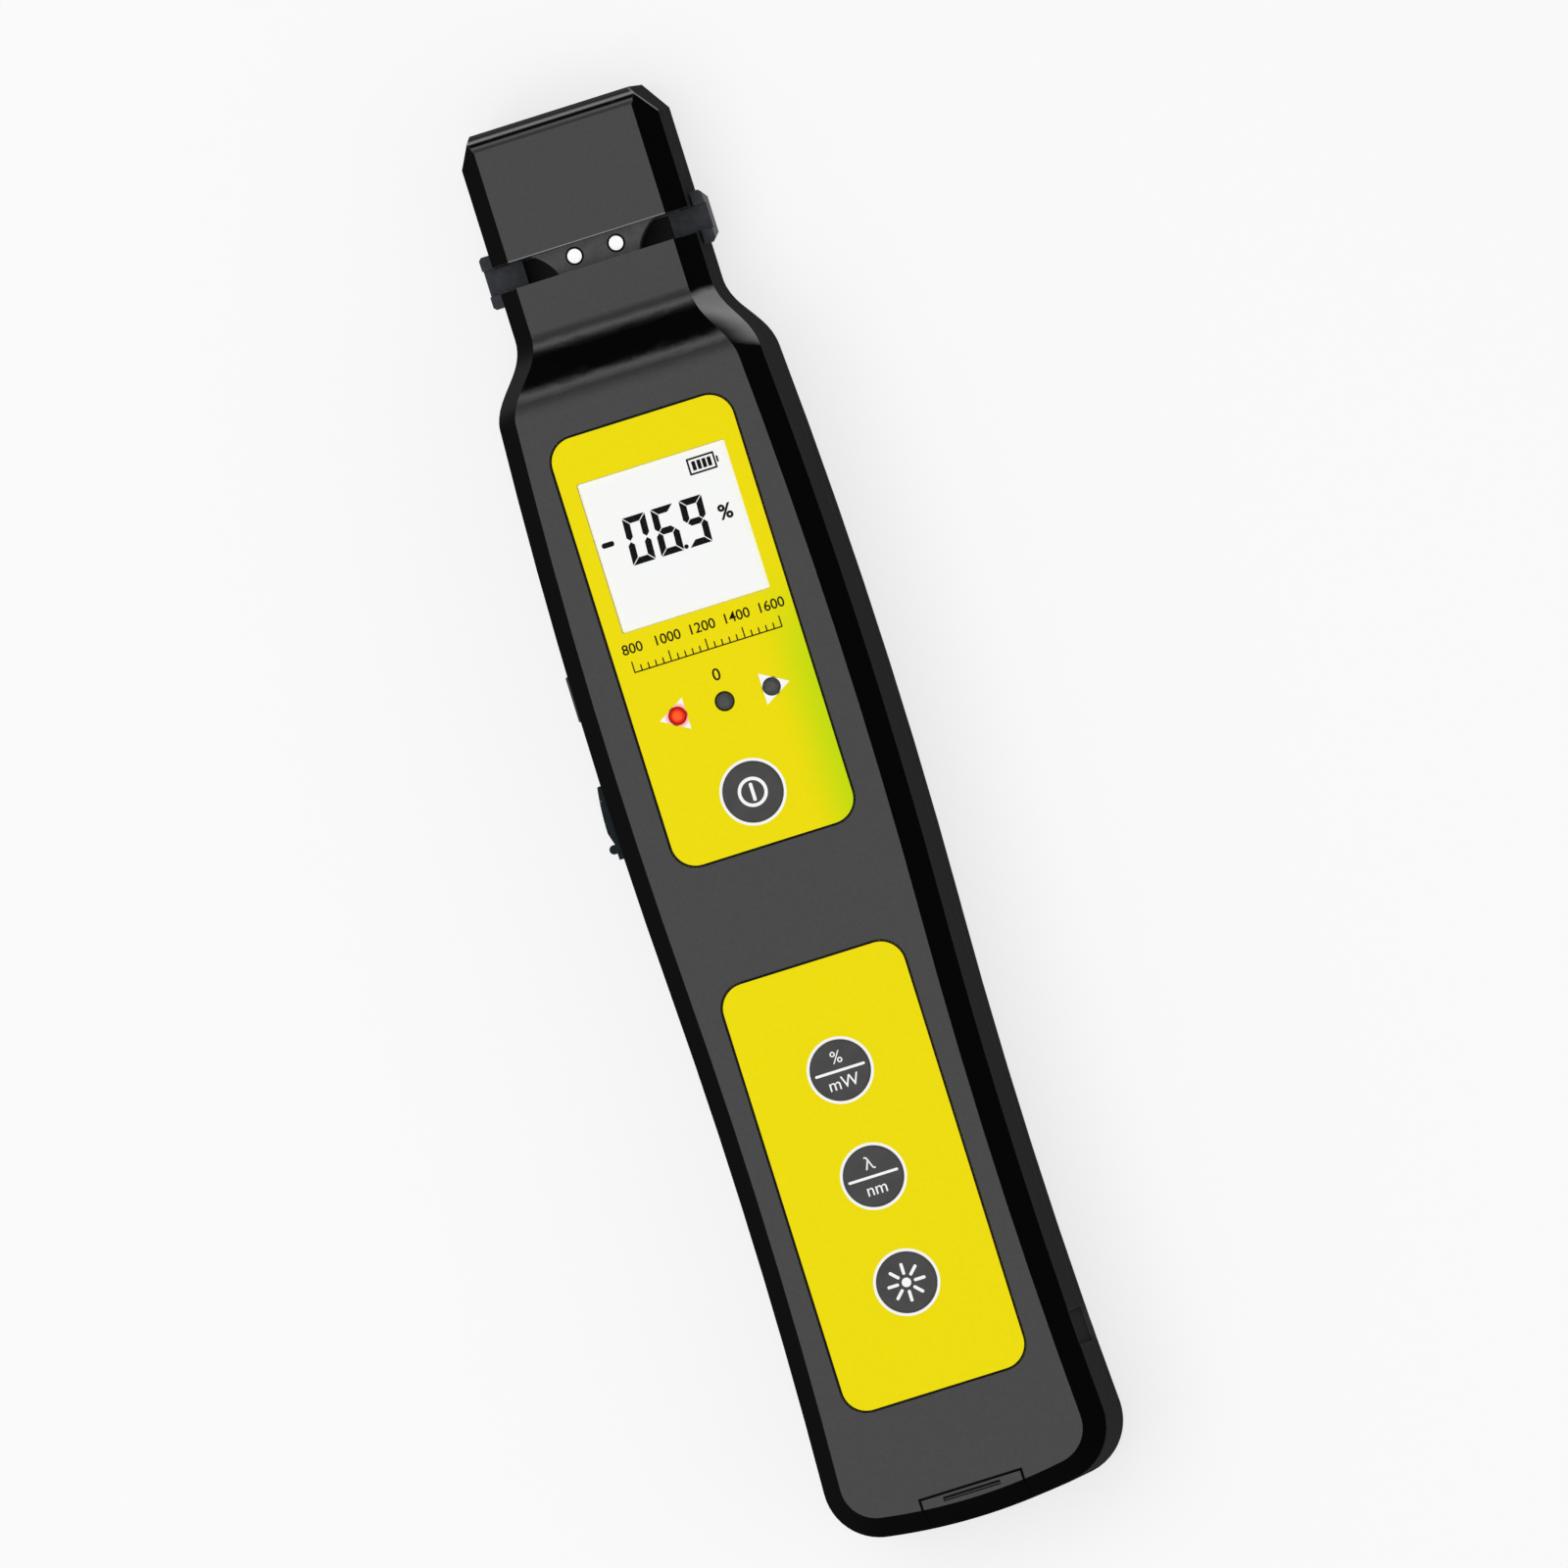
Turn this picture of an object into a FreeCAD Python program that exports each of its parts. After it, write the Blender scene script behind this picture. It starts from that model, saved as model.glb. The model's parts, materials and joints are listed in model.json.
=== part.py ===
import FreeCAD, Part
import math
import os
from FreeCAD import Vector

# Handheld optical fibre identifier, lying on its back. Sizes are in millimetres.
# X runs across, Z from the back to the front, and Y from the bottom end to the top of the head.
# Places along Y are counted from the bottom end, and the export moves the origin to mid length.

# Lengths that follow each other from the bottom end to the top of the head
LOWER_MARGIN = 20.8
LOWER_PANEL_LENGTH = 70.5
PANEL_GAP = 19.2
UPPER_PANEL_LENGTH = 70.7
SHOULDER_MARGIN = 4.3
SHOULDER_LENGTH = 12.8
NECK_LENGTH = 7.7
SLOT_HEIGHT = 4.2
HEAD_LENGTH = 20.8

# Half widths of the plan outline, and where its waist and its widest place lie
WAIST_HALF = 22.0
BULGE_SWELL = 1.4
NECK_HALF = 16.3
WAIST_DROP = 34.3
BULGE_RISE = 19.0
END_SAG = 3.0
CORNER_RADIUS = 9.0
SHOULDER_PULL = 0.42
SHOULDER_DROP = 0.35

# Depths, walls and edge breaks of the casing
BODY_DEPTH = 29.0
NECK_DROP = 8.2
PARTING_Z = 9.5
WALL = 2.0
BEVEL_FACE = 3.25
BEVEL_SIDE = 4.4
BACK_ROUND = 2.4
HEAD_CORNER_X = 3.1
HEAD_CORNER_Y = 4.7
LIP_STEP_COUNT = 2
LIP_STEP = 0.45
LIP_LEDGE = 0.5
LIP_LEDGE_DROP = 0.15
LIP_ROUND = 0.9
RUNNING_GAP = 0.15
SEAT_GAP = 0.3

# Front panels, display, lamps and keys
PANEL_WIDTH = 30.5
PANEL_RADIUS = 4.2
PANEL_THICKNESS = 0.5
PANEL_SINK = 0.05
DISPLAY_SIZE = 24.4
DISPLAY_MARGIN = 7.7
DISPLAY_RADIUS = 0.3
DISPLAY_FRAME_WIDTH = 28.0
DISPLAY_FRAME_LENGTH = 32.0
LAMP_DIAMETER = 2.9
LAMP_FLANGE_DIAMETER = 3.8
LAMP_FLANGE_HEIGHT = 1.0
LAMP_BODY = 4.6
LAMP_PROUD = 0.35
LAMP_ROUND = 0.9
LAMP_PITCH = 7.8
LAMP_RISE = 14.9
LEG_PITCH = 2.54
LEG_SIZE = 0.5
KEY_DIAMETER = 9.7
KEY_FLANGE_DIAMETER = 12.0
KEY_FLANGE_HEIGHT = 0.9
KEY_STEM_DIAMETER = 3.4
KEY_PROUD = 0.3
KEY_PITCH = 17.45
KEY_TRAVEL = 0.5
POWER_KEY_RISE = 8.8

# Circuit board, its posts and the key switches on it
BOARD_THICKNESS = 1.6
BOARD_EDGE_GAP = 0.5
POST_DIAMETER = 4.4
POST_X = 11.0
SWITCH_SIZE = 6.0
SWITCH_HEIGHT = 3.5
ACTUATOR_DIAMETER = 3.5
ACTUATOR_HEIGHT = 1.2

# Screws and their bosses
BOSS_DIAMETER = 5.5
BOSS_BITE = 0.6
CASE_SCREW_DIAMETER = 2.2
CASE_HEAD_DIAMETER = 4.0
CASE_HEAD_HEIGHT = 1.3
CASE_HEAD_SINK = 0.4
CASE_SCREW_REACH = 6.5
SCREW_ROW_MARGIN = 11.0
HEAD_SCREW_X = 10.2
SMALL_SCREW_DIAMETER = 1.8
SMALL_HEAD_DIAMETER = 3.4
SMALL_HEAD_HEIGHT = 1.1
SMALL_SCREW_REACH = 5.0
SCREW_CLEARANCE = 0.05

# Clamp: slide bar, thumb slider, anvil and the block under it
BAR_WIDTH = 8.0
BAR_THICKNESS = 2.6
RAIL_WIDTH = 1.2
CLAMP_TRAVEL = 6.2
LUG_LENGTH = 6.0
ARM_WIDTH = 5.0
ARM_HEIGHT = 3.5
SLIDER_LENGTH = 12.0
SLIDER_HEIGHT = 10.0
SLIDER_PROUD = 2.0
SLIDER_EDGE = 1.4
SLIDER_ROUND = 0.3
SLIDER_DROP = 10.9
CREST_RISE = 4.6
TOE_LENGTH = 2.6
RIB_COUNT = 4
RIB_PITCH = 1.2
RIB_GROOVE = 0.5
NUB_DIAMETER = 1.5
NUB_PROUD = 2.6
NUB_RISE = 1.8
PAD_LENGTH = 8.4
PAD_HEIGHT = 7.0
PAD_PROUD = 1.3
PAD_SLOPE = 0.6
PAD_RISE = 26.9
ANVIL_BACK_Z = 11.6
ANVIL_THICKNESS = 3.4
ANVIL_HALF = 10.2
ANVIL_TIP_HALF = 6.6
ANVIL_TIP_SAG = 2.2
ANVIL_LENGTH = 11.0
ANVIL_FLARE = 1.0
PIN_DIAMETER = 2.5
PIN_PITCH = 6.9
PIN_RISE = 2.2
CARRIER_LENGTH = 4.0
CARRIER_WIDTH = 12.0
CLAMP_GAP = 0.5
BLOCK_LENGTH = 9.4
DETECTOR_DIAMETER = 3.8
DETECTOR_LENGTH = 4.0
DETECTOR_REACH = 8.6
DETECTOR_ANGLE = 20.0
LIGHT_BORE_DIAMETER = 1.6

# Spring that pulls the anvil down, and the keeper over the slide bar
SPRING_LENGTH = 24.6
SPRING_DIAMETER = 5.6
SPRING_WIRE = 0.7
SPRING_TURNS = 5.0
SPIGOT_DIAMETER = 3.2
RIB_THICKNESS = 2.0
KEEPER_LENGTH = 8.0
KEEPER_THICKNESS = 1.2
KEEPER_SCREW_X = 8.4

# Guide plate at the back of the slot, with an ear outside each flank
GUIDE_THICKNESS = 1.8
GUIDE_RAIL = 1.3
GUIDE_WINDOW_HALF = 12.6
EAR_THICKNESS = 1.9
EAR_DROP = 2.4
EAR_LIP = 1.6
EAR_FLARE = 0.9

# Battery compartment with two cells
CELL_DIAMETER = 10.5
CELL_LENGTH = 44.5
CELL_NUB_DIAMETER = 3.8
CELL_NUB_LENGTH = 1.0
CELL_GAP = 0.5
COMPARTMENT_WALL = 1.2
CONTACT_DEPTH = 2.6
CONTACT_THICKNESS = 0.4
DOOR_THICKNESS = 1.8
DOOR_SINK = 0.1
DOOR_GAP = 0.3
DOOR_PIN_DIAMETER = 1.2
DOOR_PIN_BITE = 1.0
LATCH_WIDTH = 4.0
LATCH_HEIGHT = 2.6
LATCH_THICKNESS = 1.0
THUMB_NOTCH_DIAMETER = 9.0
THUMB_NOTCH_DEPTH = 0.8

# Visible light port at the bottom end, with its hinged cover
PORT_Z = 14.2
PORT_BORE_DIAMETER = 2.52
PORT_DIAMETER = 7.0
PORT_LENGTH = 8.0
PORT_FLANGE_DIAMETER = 8.4
PORT_FLANGE_HEIGHT = 1.4
LASER_DIAMETER = 8.0
LASER_LENGTH = 18.0
END_BLOCK_HALF = 9.8
COVER_WIDTH = 16.4
COVER_REACH = 5.1
COVER_THICKNESS = 1.8
COVER_GAP = 0.25
HINGE_Z = 5.2
HINGE_DIAMETER = 3.0
HINGE_PIN_DIAMETER = 1.3
HINGE_CLEARANCE = 0.05
HINGE_PIN_BITE = 1.3
NAIL_GROOVE_WIDTH = 9.4
NAIL_GROOVE_HEIGHT = 0.7
NAIL_GROOVE_DEPTH = 0.5
NAIL_GROOVE_EDGE = 0.4

# Shallow notch in the right flank near the bottom end
FLANK_NOTCH_Y = 21.0
FLANK_NOTCH_LENGTH = 5.8
FLANK_NOTCH_DEPTH = 0.8

# Places worked out from the sizes above
LOWER_PANEL_TOP = LOWER_MARGIN + LOWER_PANEL_LENGTH
UPPER_PANEL_Y = LOWER_PANEL_TOP + PANEL_GAP
UPPER_PANEL_TOP = UPPER_PANEL_Y + UPPER_PANEL_LENGTH
SHOULDER_Y = UPPER_PANEL_TOP + SHOULDER_MARGIN
NECK_Y = SHOULDER_Y + SHOULDER_LENGTH
SLOT_Y = NECK_Y + NECK_LENGTH
SLOT_TOP = SLOT_Y + SLOT_HEIGHT
LENGTH = SLOT_TOP + HEAD_LENGTH
WAIST_Y = LOWER_PANEL_TOP - WAIST_DROP
BULGE_Y = UPPER_PANEL_Y + BULGE_RISE
BULGE_HALF = WAIST_HALF + BULGE_SWELL
FLANK_TURN_Y = (WAIST_Y + BULGE_Y) / 2
FLANK_RADIUS = ((BULGE_Y - WAIST_Y) ** 2 + BULGE_SWELL ** 2) / (4 * BULGE_SWELL)

LOWER_PANEL_MID = LOWER_MARGIN + LOWER_PANEL_LENGTH / 2
UPPER_PANEL = (UPPER_PANEL_Y + UPPER_PANEL_LENGTH / 2, UPPER_PANEL_LENGTH)
LOWER_PANEL = (LOWER_PANEL_MID, LOWER_PANEL_LENGTH)
DISPLAY_Y = UPPER_PANEL_TOP - DISPLAY_MARGIN - DISPLAY_SIZE / 2
POWER_KEY_Y = UPPER_PANEL_Y + POWER_KEY_RISE
LAMP_Y = POWER_KEY_Y + LAMP_RISE
KEY_PLACES = {
    "power_key": POWER_KEY_Y,
    "unit_key": LOWER_PANEL_MID + KEY_PITCH,
    "wave_key": LOWER_PANEL_MID,
    "laser_key": LOWER_PANEL_MID - KEY_PITCH,
}
LAMP_PLACES = {"lamp_left": -LAMP_PITCH, "lamp_centre": 0.0, "lamp_right": LAMP_PITCH}

NECK_DEPTH = BODY_DEPTH - NECK_DROP
FRONT_INNER_Z = BODY_DEPTH - WALL
PANEL_FLOOR_Z = BODY_DEPTH - PANEL_SINK - PANEL_THICKNESS
PANEL_TOP_Z = BODY_DEPTH - PANEL_SINK
CELL_Z = DOOR_SINK + DOOR_THICKNESS + SEAT_GAP + CELL_DIAMETER / 2
COMPARTMENT_ROOF_Z = CELL_Z + CELL_DIAMETER / 2 + SEAT_GAP
BOARD_Z = COMPARTMENT_ROOF_Z + COMPARTMENT_WALL + SMALL_HEAD_HEIGHT + SEAT_GAP
BOARD_TOP_Z = BOARD_Z + BOARD_THICKNESS
DISPLAY_FRAME_Z = FRONT_INNER_Z - RUNNING_GAP
SWITCH_TOP_Z = BOARD_TOP_Z + SWITCH_HEIGHT + ACTUATOR_HEIGHT

BOSS_X = WAIST_HALF - WALL - BOSS_DIAMETER / 2
BOARD_HALF = BOSS_X - BOSS_DIAMETER / 2 - BOARD_EDGE_GAP
HEAD_SCREW_Y = LENGTH - WALL - BOSS_DIAMETER / 2 + BOSS_BITE
CASE_SCREW_ROWS = (LOWER_MARGIN + WALL, LOWER_PANEL_TOP + PANEL_GAP / 2, UPPER_PANEL_TOP - SCREW_ROW_MARGIN)
CASE_SCREW_PLACES = [(side * BOSS_X, row) for row in CASE_SCREW_ROWS for side in (-1, 1)]
HEAD_SCREW_PLACES = [(side * HEAD_SCREW_X, HEAD_SCREW_Y) for side in (-1, 1)]
CASE_HEAD_SEAT_Z = CASE_HEAD_SINK + CASE_HEAD_HEIGHT
CASE_TIP_Z = PARTING_Z + CASE_SCREW_REACH
CASE_HOLE_TOP_Z = CASE_TIP_Z + 2 * SEAT_GAP

PORT_Y = COVER_THICKNESS + 2 * COVER_GAP
LASER_Y = PORT_Y + PORT_LENGTH
LASER_END = LASER_Y + LASER_LENGTH
END_BLOCK_END = LASER_Y + LASER_DIAMETER / 2
COMPARTMENT_Y = LASER_END + 2 * COMPARTMENT_WALL
COMPARTMENT_TOP = COMPARTMENT_Y + CELL_LENGTH + 2 * CONTACT_DEPTH
DOOR_HINGE_Y = COMPARTMENT_TOP - DOOR_GAP - DOOR_THICKNESS / 2
DOOR_HINGE_Z = DOOR_SINK + DOOR_THICKNESS / 2
CELL_X = (CELL_DIAMETER + CELL_GAP) / 2
COMPARTMENT_HALF = CELL_DIAMETER + CELL_GAP
HINGE_Y = COVER_THICKNESS / 2 + HINGE_DIAMETER / 2

POST_RADIUS = POST_DIAMETER / 2
BOARD_Y = LASER_END + 2 * WALL
TOP_POST_Y = DISPLAY_Y + DISPLAY_FRAME_LENGTH / 2 + BOARD_EDGE_GAP + POST_RADIUS
BOARD_TOP_Y = TOP_POST_Y + POST_RADIUS + BOARD_EDGE_GAP
LOW_POST_Y = BOARD_Y + BOARD_EDGE_GAP + POST_RADIUS
MIDDLE_POST_Y = CASE_SCREW_ROWS[1]
POST_PLACES = [(side * POST_X, y) for y in (LOW_POST_Y, MIDDLE_POST_Y, TOP_POST_Y) for side in (-1, 1)]

BAR_HALF = BAR_WIDTH / 2
BAR_Z = WALL + RUNNING_GAP
BAR_TOP_Z = BAR_Z + BAR_THICKNESS
RAIL_TOP_Z = BAR_TOP_Z + RUNNING_GAP
RAIL_X = BAR_HALF + RUNNING_GAP
ANVIL_FRONT_Z = ANVIL_BACK_Z + ANVIL_THICKNESS
SLOT_WALL_Z = ANVIL_FRONT_Z + 2 * SEAT_GAP
ANVIL_TOP = SLOT_Y + ANVIL_LENGTH
ANVIL_TIP_Y = SLOT_Y - ANVIL_TIP_SAG
TIP_RADIUS = (ANVIL_TIP_HALF ** 2 + ANVIL_TIP_SAG ** 2) / (2 * ANVIL_TIP_SAG)
LUG_Y = UPPER_PANEL_Y + SLIDER_DROP - LUG_LENGTH / 2
LUG_TOP = LUG_Y + LUG_LENGTH
ARM_Z = PARTING_Z + SEAT_GAP
ARM_TOP_Z = ARM_Z + ARM_HEIGHT
SLIDER_X = BULGE_HALF + SEAT_GAP
SLIDER_Z = ARM_Z + ARM_HEIGHT / 2
SPRING_Z = BAR_TOP_Z + SEAT_GAP + SPRING_DIAMETER / 2 + RUNNING_GAP
RIB_Y = LUG_TOP + SPRING_LENGTH
KEEPER_Y = RIB_Y + RIB_THICKNESS + KEEPER_LENGTH
GUIDE_TOP_Z = PARTING_Z + GUIDE_THICKNESS
GUIDE_Y = SLOT_Y - GUIDE_RAIL
GUIDE_TOP_Y = SLOT_TOP + GUIDE_RAIL
NECK_INNER_HALF = NECK_HALF - WALL
BLOCK_Y = SLOT_Y - BLOCK_LENGTH
FAR = 300.0


def block(x, y, z):
    return Part.makeBox(x[1] - x[0], y[1] - y[0], z[1] - z[0], Vector(x[0], y[0], z[0]))


def rod(diameter, start, end):
    return Part.makeCylinder(diameter / 2, start.distanceToPoint(end), start, end - start)


def upright_rod(diameter, x, y, low, high):
    return rod(diameter, Vector(x, y, low), Vector(x, y, high))


def screw_hole(diameter, x, y, low, high):
    return upright_rod(diameter + 2 * SCREW_CLEARANCE, x, y, low, high)


def prism(points, along):
    return Part.Face(Part.makePolygon(points + points[:1])).extrude(along)


def rounded_plate(width, length, radius, y, low, high):
    plate = block((-width / 2, width / 2), (y - length / 2, y + length / 2), (low, high))
    corners = [edge for edge in plate.Edges if edge.BoundBox.ZLength > (high - low) / 2]
    return plate.makeFillet(radius, corners)


def inset_legs(leg_a, leg_b, inset):
    # Legs of a corner cut after both of its neighbours and the cut itself move inward by the inset
    slant = math.hypot(leg_a, leg_b)
    return (leg_a - inset * (1 + (leg_a - slant) / leg_b),
            leg_b - inset * (1 + (leg_b - slant) / leg_a))


def s_curve(start, end, lean):
    # Curve that leaves the start with a lean across for each millimetre along Y, and ends along Y
    pull = (end.y - start.y) * SHOULDER_PULL
    curve = Part.BezierCurve()
    curve.setPoles([start, start + Vector(lean, 1, 0) * pull, end - Vector(0, pull, 0), end])
    return curve.toShape()


def shoulder_span(inset):
    # The inner curve starts a little lower, so that the wall keeps its thickness on the slope
    drop = SHOULDER_DROP * inset
    return SHOULDER_Y - drop, NECK_Y - drop


def flank_half(y):
    # Half width of the body, where a hollow arc round the waist runs into an equal arc round the bulge
    if y < FLANK_TURN_Y:
        return WAIST_HALF + FLANK_RADIUS - math.sqrt(FLANK_RADIUS ** 2 - (y - WAIST_Y) ** 2)
    return BULGE_HALF - FLANK_RADIUS + math.sqrt(FLANK_RADIUS ** 2 - (y - BULGE_Y) ** 2)


def plan_outline(inset):
    shoulder_y, neck_y = shoulder_span(inset)
    foot = flank_half(END_SAG + inset) - inset
    head_top = LENGTH - inset
    end_y = END_SAG + inset
    edges = [Part.Arc(Vector(-foot, end_y, 0), Vector(0, inset, 0), Vector(foot, end_y, 0)).toShape()]
    for side in (-1, 1):
        for places in ((end_y, WAIST_Y, FLANK_TURN_Y), (FLANK_TURN_Y, BULGE_Y, shoulder_y)):
            edges.append(Part.Arc(*[Vector(side * (flank_half(y) - inset), y, 0) for y in places]).toShape())
        shoulder = Vector(side * (flank_half(shoulder_y) - inset), shoulder_y, 0)
        neck = Vector(side * (NECK_HALF - inset), neck_y, 0)
        edges.append(s_curve(shoulder, neck, side * (BULGE_Y - shoulder_y) / FLANK_RADIUS))
        edges.append(Part.makeLine(neck, Vector(neck.x, head_top, 0)))
    neck_half = NECK_HALF - inset
    edges.append(Part.makeLine(Vector(-neck_half, head_top, 0), Vector(neck_half, head_top, 0)))
    return Part.Wire(Part.__sortEdges__(edges))


def step_above_neck(inset):
    # Space in front of the shoulder curve, the neck and the head
    shoulder_y, neck_y = shoulder_span(inset)
    body_z = BODY_DEPTH - inset
    start = Vector(-FAR, shoulder_y, body_z)
    end = Vector(-FAR, neck_y, NECK_DEPTH - inset)
    top = Vector(-FAR, FAR, NECK_DEPTH - inset)
    edges = [
        s_curve(start, end, 0),
        Part.makeLine(end, top),
        Part.makeLine(top, Vector(-FAR, FAR, FAR)),
        Part.makeLine(Vector(-FAR, FAR, FAR), Vector(-FAR, shoulder_y, FAR)),
        Part.makeLine(Vector(-FAR, shoulder_y, FAR), start),
    ]
    return Part.Face(Part.Wire(edges)).extrude(Vector(2 * FAR, 0, 0))


def outward(face):
    return face.normalAt(*face.Surface.parameter(face.CenterOfMass))


def front_rim(solid, inset):
    # Edges between the front faces and the walls, apart from the straight top of the head
    rim = []
    walls = [face for face in solid.Faces
             if abs(outward(face).z) < 0.05 and face.BoundBox.YMin < LENGTH - inset - WALL / 2]
    for face in solid.Faces:
        if outward(face).z > 0.05:
            rim += [edge for edge in face.Edges
                    if any(edge.isSame(other) for wall in walls for other in wall.Edges)]
    return rim


def head_corner_cuts(inset):
    leg_x, leg_y = inset_legs(HEAD_CORNER_X, HEAD_CORNER_Y, inset)
    half, top = NECK_HALF - inset, LENGTH - inset
    cuts = []
    for side in (-1, 1):
        points = [(half, top - leg_y), (half + WALL, top - leg_y), (half + WALL, top + WALL),
                  (half - leg_x, top + WALL), (half - leg_x, top)]
        cuts.append(prism([Vector(side * x, y, -WALL) for x, y in points], Vector(0, 0, BODY_DEPTH + WALL)))
    return cuts


def head_lip_cut():
    # Small steps with leaning ledges across the top of the head, and a round edge after the last
    lip = [Vector(-FAR, LENGTH - LIP_ROUND - LIP_STEP_COUNT * (LIP_STEP + LIP_LEDGE), NECK_DEPTH)]
    for _ in range(LIP_STEP_COUNT):
        lip.append(lip[-1] + Vector(0, LIP_STEP, -LIP_STEP))
        lip.append(lip[-1] + Vector(0, LIP_LEDGE, -LIP_LEDGE_DROP))
    axis = lip[-1] - Vector(0, 0, LIP_ROUND)
    middle = axis + Vector(0, LIP_ROUND, LIP_ROUND) * math.sqrt(0.5)
    end = axis + Vector(0, LIP_ROUND, 0)
    outside = end + Vector(0, WALL, 0)
    around = [end, outside, Vector(-FAR, outside.y, FAR), Vector(-FAR, lip[0].y, FAR), lip[0]]
    edges = [Part.makeLine(a, b) for points in (lip, around) for a, b in zip(points, points[1:])]
    edges.append(Part.Arc(lip[-1], middle, end).toShape())
    return Part.Face(Part.Wire(Part.__sortEdges__(edges))).extrude(Vector(2 * FAR, 0, 0))


def casing(inset):
    # The outer form with all its faces moved inward by the inset
    solid = Part.Face(plan_outline(inset)).extrude(Vector(0, 0, BODY_DEPTH - 2 * inset))
    solid.translate(Vector(0, 0, inset))
    foot_corners = [edge for edge in solid.Edges
                    if edge.BoundBox.YLength < 0.01 and edge.BoundBox.XLength < 0.01
                    and abs(edge.CenterOfMass.y - END_SAG - inset) < 0.01]
    solid = solid.makeFillet(CORNER_RADIUS - inset, foot_corners)
    solid = solid.cut(step_above_neck(inset)).removeSplitter().Solids[0]
    face_leg, side_leg = inset_legs(BEVEL_FACE, BEVEL_SIDE, inset)
    solid = solid.makeChamfer(side_leg, face_leg, front_rim(solid, inset)).Solids[0]
    return solid.cut(head_corner_cuts(inset)).Solids[0]


def outer_casing():
    solid = casing(0.0)
    back = [face for face in solid.Faces if face.BoundBox.ZMax < 0.01][0]
    return solid.makeFillet(BACK_ROUND, back.OuterWire.Edges).cut(head_lip_cut())


OUTER = outer_casing()
INNER = casing(WALL)
COVER_BACK = casing(COVER_THICKNESS)
COVER_FLOOR = casing(COVER_THICKNESS + COVER_GAP)


def cover_zone(gap, low):
    return block((-COVER_WIDTH / 2 - gap, COVER_WIDTH / 2 + gap), (-WALL, COVER_REACH + gap), (low, FAR))


def hinge_rod(diameter, half):
    return rod(diameter, Vector(-half, HINGE_Y, HINGE_Z), Vector(half, HINGE_Y, HINGE_Z))


def cover_recess():
    # Pocket for the cover and its hinge, deep enough at the back for the cover to swing open
    low = HINGE_Z - HINGE_Y - RUNNING_GAP
    pocket = cover_zone(COVER_GAP, low).cut(COVER_FLOOR)
    return pocket.fuse(hinge_rod(2 * (HINGE_Y + RUNNING_GAP), COVER_WIDTH / 2 + COVER_GAP))


def end_block(low, high):
    solid = block((-END_BLOCK_HALF, END_BLOCK_HALF), (WALL / 2, END_BLOCK_END), (low, high))
    return solid.common(casing(WALL / 2))


def port_space():
    spaces = [
        rod(PORT_DIAMETER + 2 * SCREW_CLEARANCE, Vector(0, 0, PORT_Z), Vector(0, LASER_Y, PORT_Z)),
        rod(PORT_FLANGE_DIAMETER + 2 * SCREW_CLEARANCE, Vector(0, 0, PORT_Z),
            Vector(0, PORT_Y + PORT_FLANGE_HEIGHT, PORT_Z)),
        rod(LASER_DIAMETER + 2 * SCREW_CLEARANCE, Vector(0, LASER_Y, PORT_Z),
            Vector(0, END_BLOCK_END + WALL, PORT_Z)),
    ]
    return spaces[0].fuse(spaces[1:])


def flank_notch():
    # Shallow notch across the right flank
    zone = block((0, FAR), (FLANK_NOTCH_Y, FLANK_NOTCH_Y + FLANK_NOTCH_LENGTH),
                 (BACK_ROUND, BODY_DEPTH - BEVEL_SIDE))
    return zone.cut(casing(FLANK_NOTCH_DEPTH))


def slider_notch():
    # Opening in the left flank for the arm, over its whole travel
    low = LUG_Y + (LUG_LENGTH - ARM_WIDTH) / 2 - SEAT_GAP
    high = low + ARM_WIDTH + CLAMP_TRAVEL + 2 * SEAT_GAP
    return block((-FAR, -WAIST_HALF / 2), (low, high), (PARTING_Z - WALL, ARM_TOP_Z + SEAT_GAP))


def finger_pad():
    low = UPPER_PANEL_Y + PAD_RISE
    root, tip = -BULGE_HALF + WALL / 2, -BULGE_HALF - PAD_PROUD
    z = SLIDER_Z + SEAT_GAP - PAD_HEIGHT / 2
    points = [(root, low), (-BULGE_HALF, low), (tip, low + PAD_SLOPE),
              (tip, low + PAD_LENGTH - PAD_SLOPE), (-BULGE_HALF, low + PAD_LENGTH), (root, low + PAD_LENGTH)]
    return prism([Vector(x, y, max(z, PARTING_Z)) for x, y in points], Vector(0, 0, PAD_HEIGHT))


def boss(x, y, low, high):
    return upright_rod(BOSS_DIAMETER, x, y, low, high)


def front_shell():
    keep = block((-FAR, FAR), (-FAR, SLOT_Y), (PARTING_Z, FAR))
    hollow = INNER.common(block((-FAR, FAR), (-FAR, SLOT_Y - WALL), (-FAR, FAR)).fuse(
        block((-FAR, FAR), (-FAR, FAR), (-FAR, SLOT_WALL_Z))))
    shell = OUTER.common(keep).cut(hollow)
    inside = casing(WALL / 2)
    bosses = [boss(x, y, PARTING_Z, BODY_DEPTH).common(inside) for x, y in CASE_SCREW_PLACES]
    posts = [upright_rod(POST_DIAMETER, x, y, BOARD_TOP_Z, FRONT_INNER_Z + WALL / 2) for x, y in POST_PLACES]
    shell = shell.fuse(bosses + posts + [end_block(PARTING_Z, PORT_Z + LASER_DIAMETER), finger_pad()])
    cuts = [panel(PANEL_WIDTH, y, length, RUNNING_GAP, FAR) for y, length in (UPPER_PANEL, LOWER_PANEL)]
    cuts += key_holes() + lamp_holes() + [display_window()]
    cuts += [screw_hole(CASE_SCREW_DIAMETER, x, y, 0, CASE_HOLE_TOP_Z) for x, y in CASE_SCREW_PLACES]
    hole_top = BOARD_TOP_Z + SMALL_SCREW_REACH
    cuts += [screw_hole(SMALL_SCREW_DIAMETER, x, y, 0, hole_top) for x, y in POST_PLACES]
    cuts += [slider_notch(), port_space(), cover_recess(), flank_notch()]
    return shell.cut(cuts)


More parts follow.
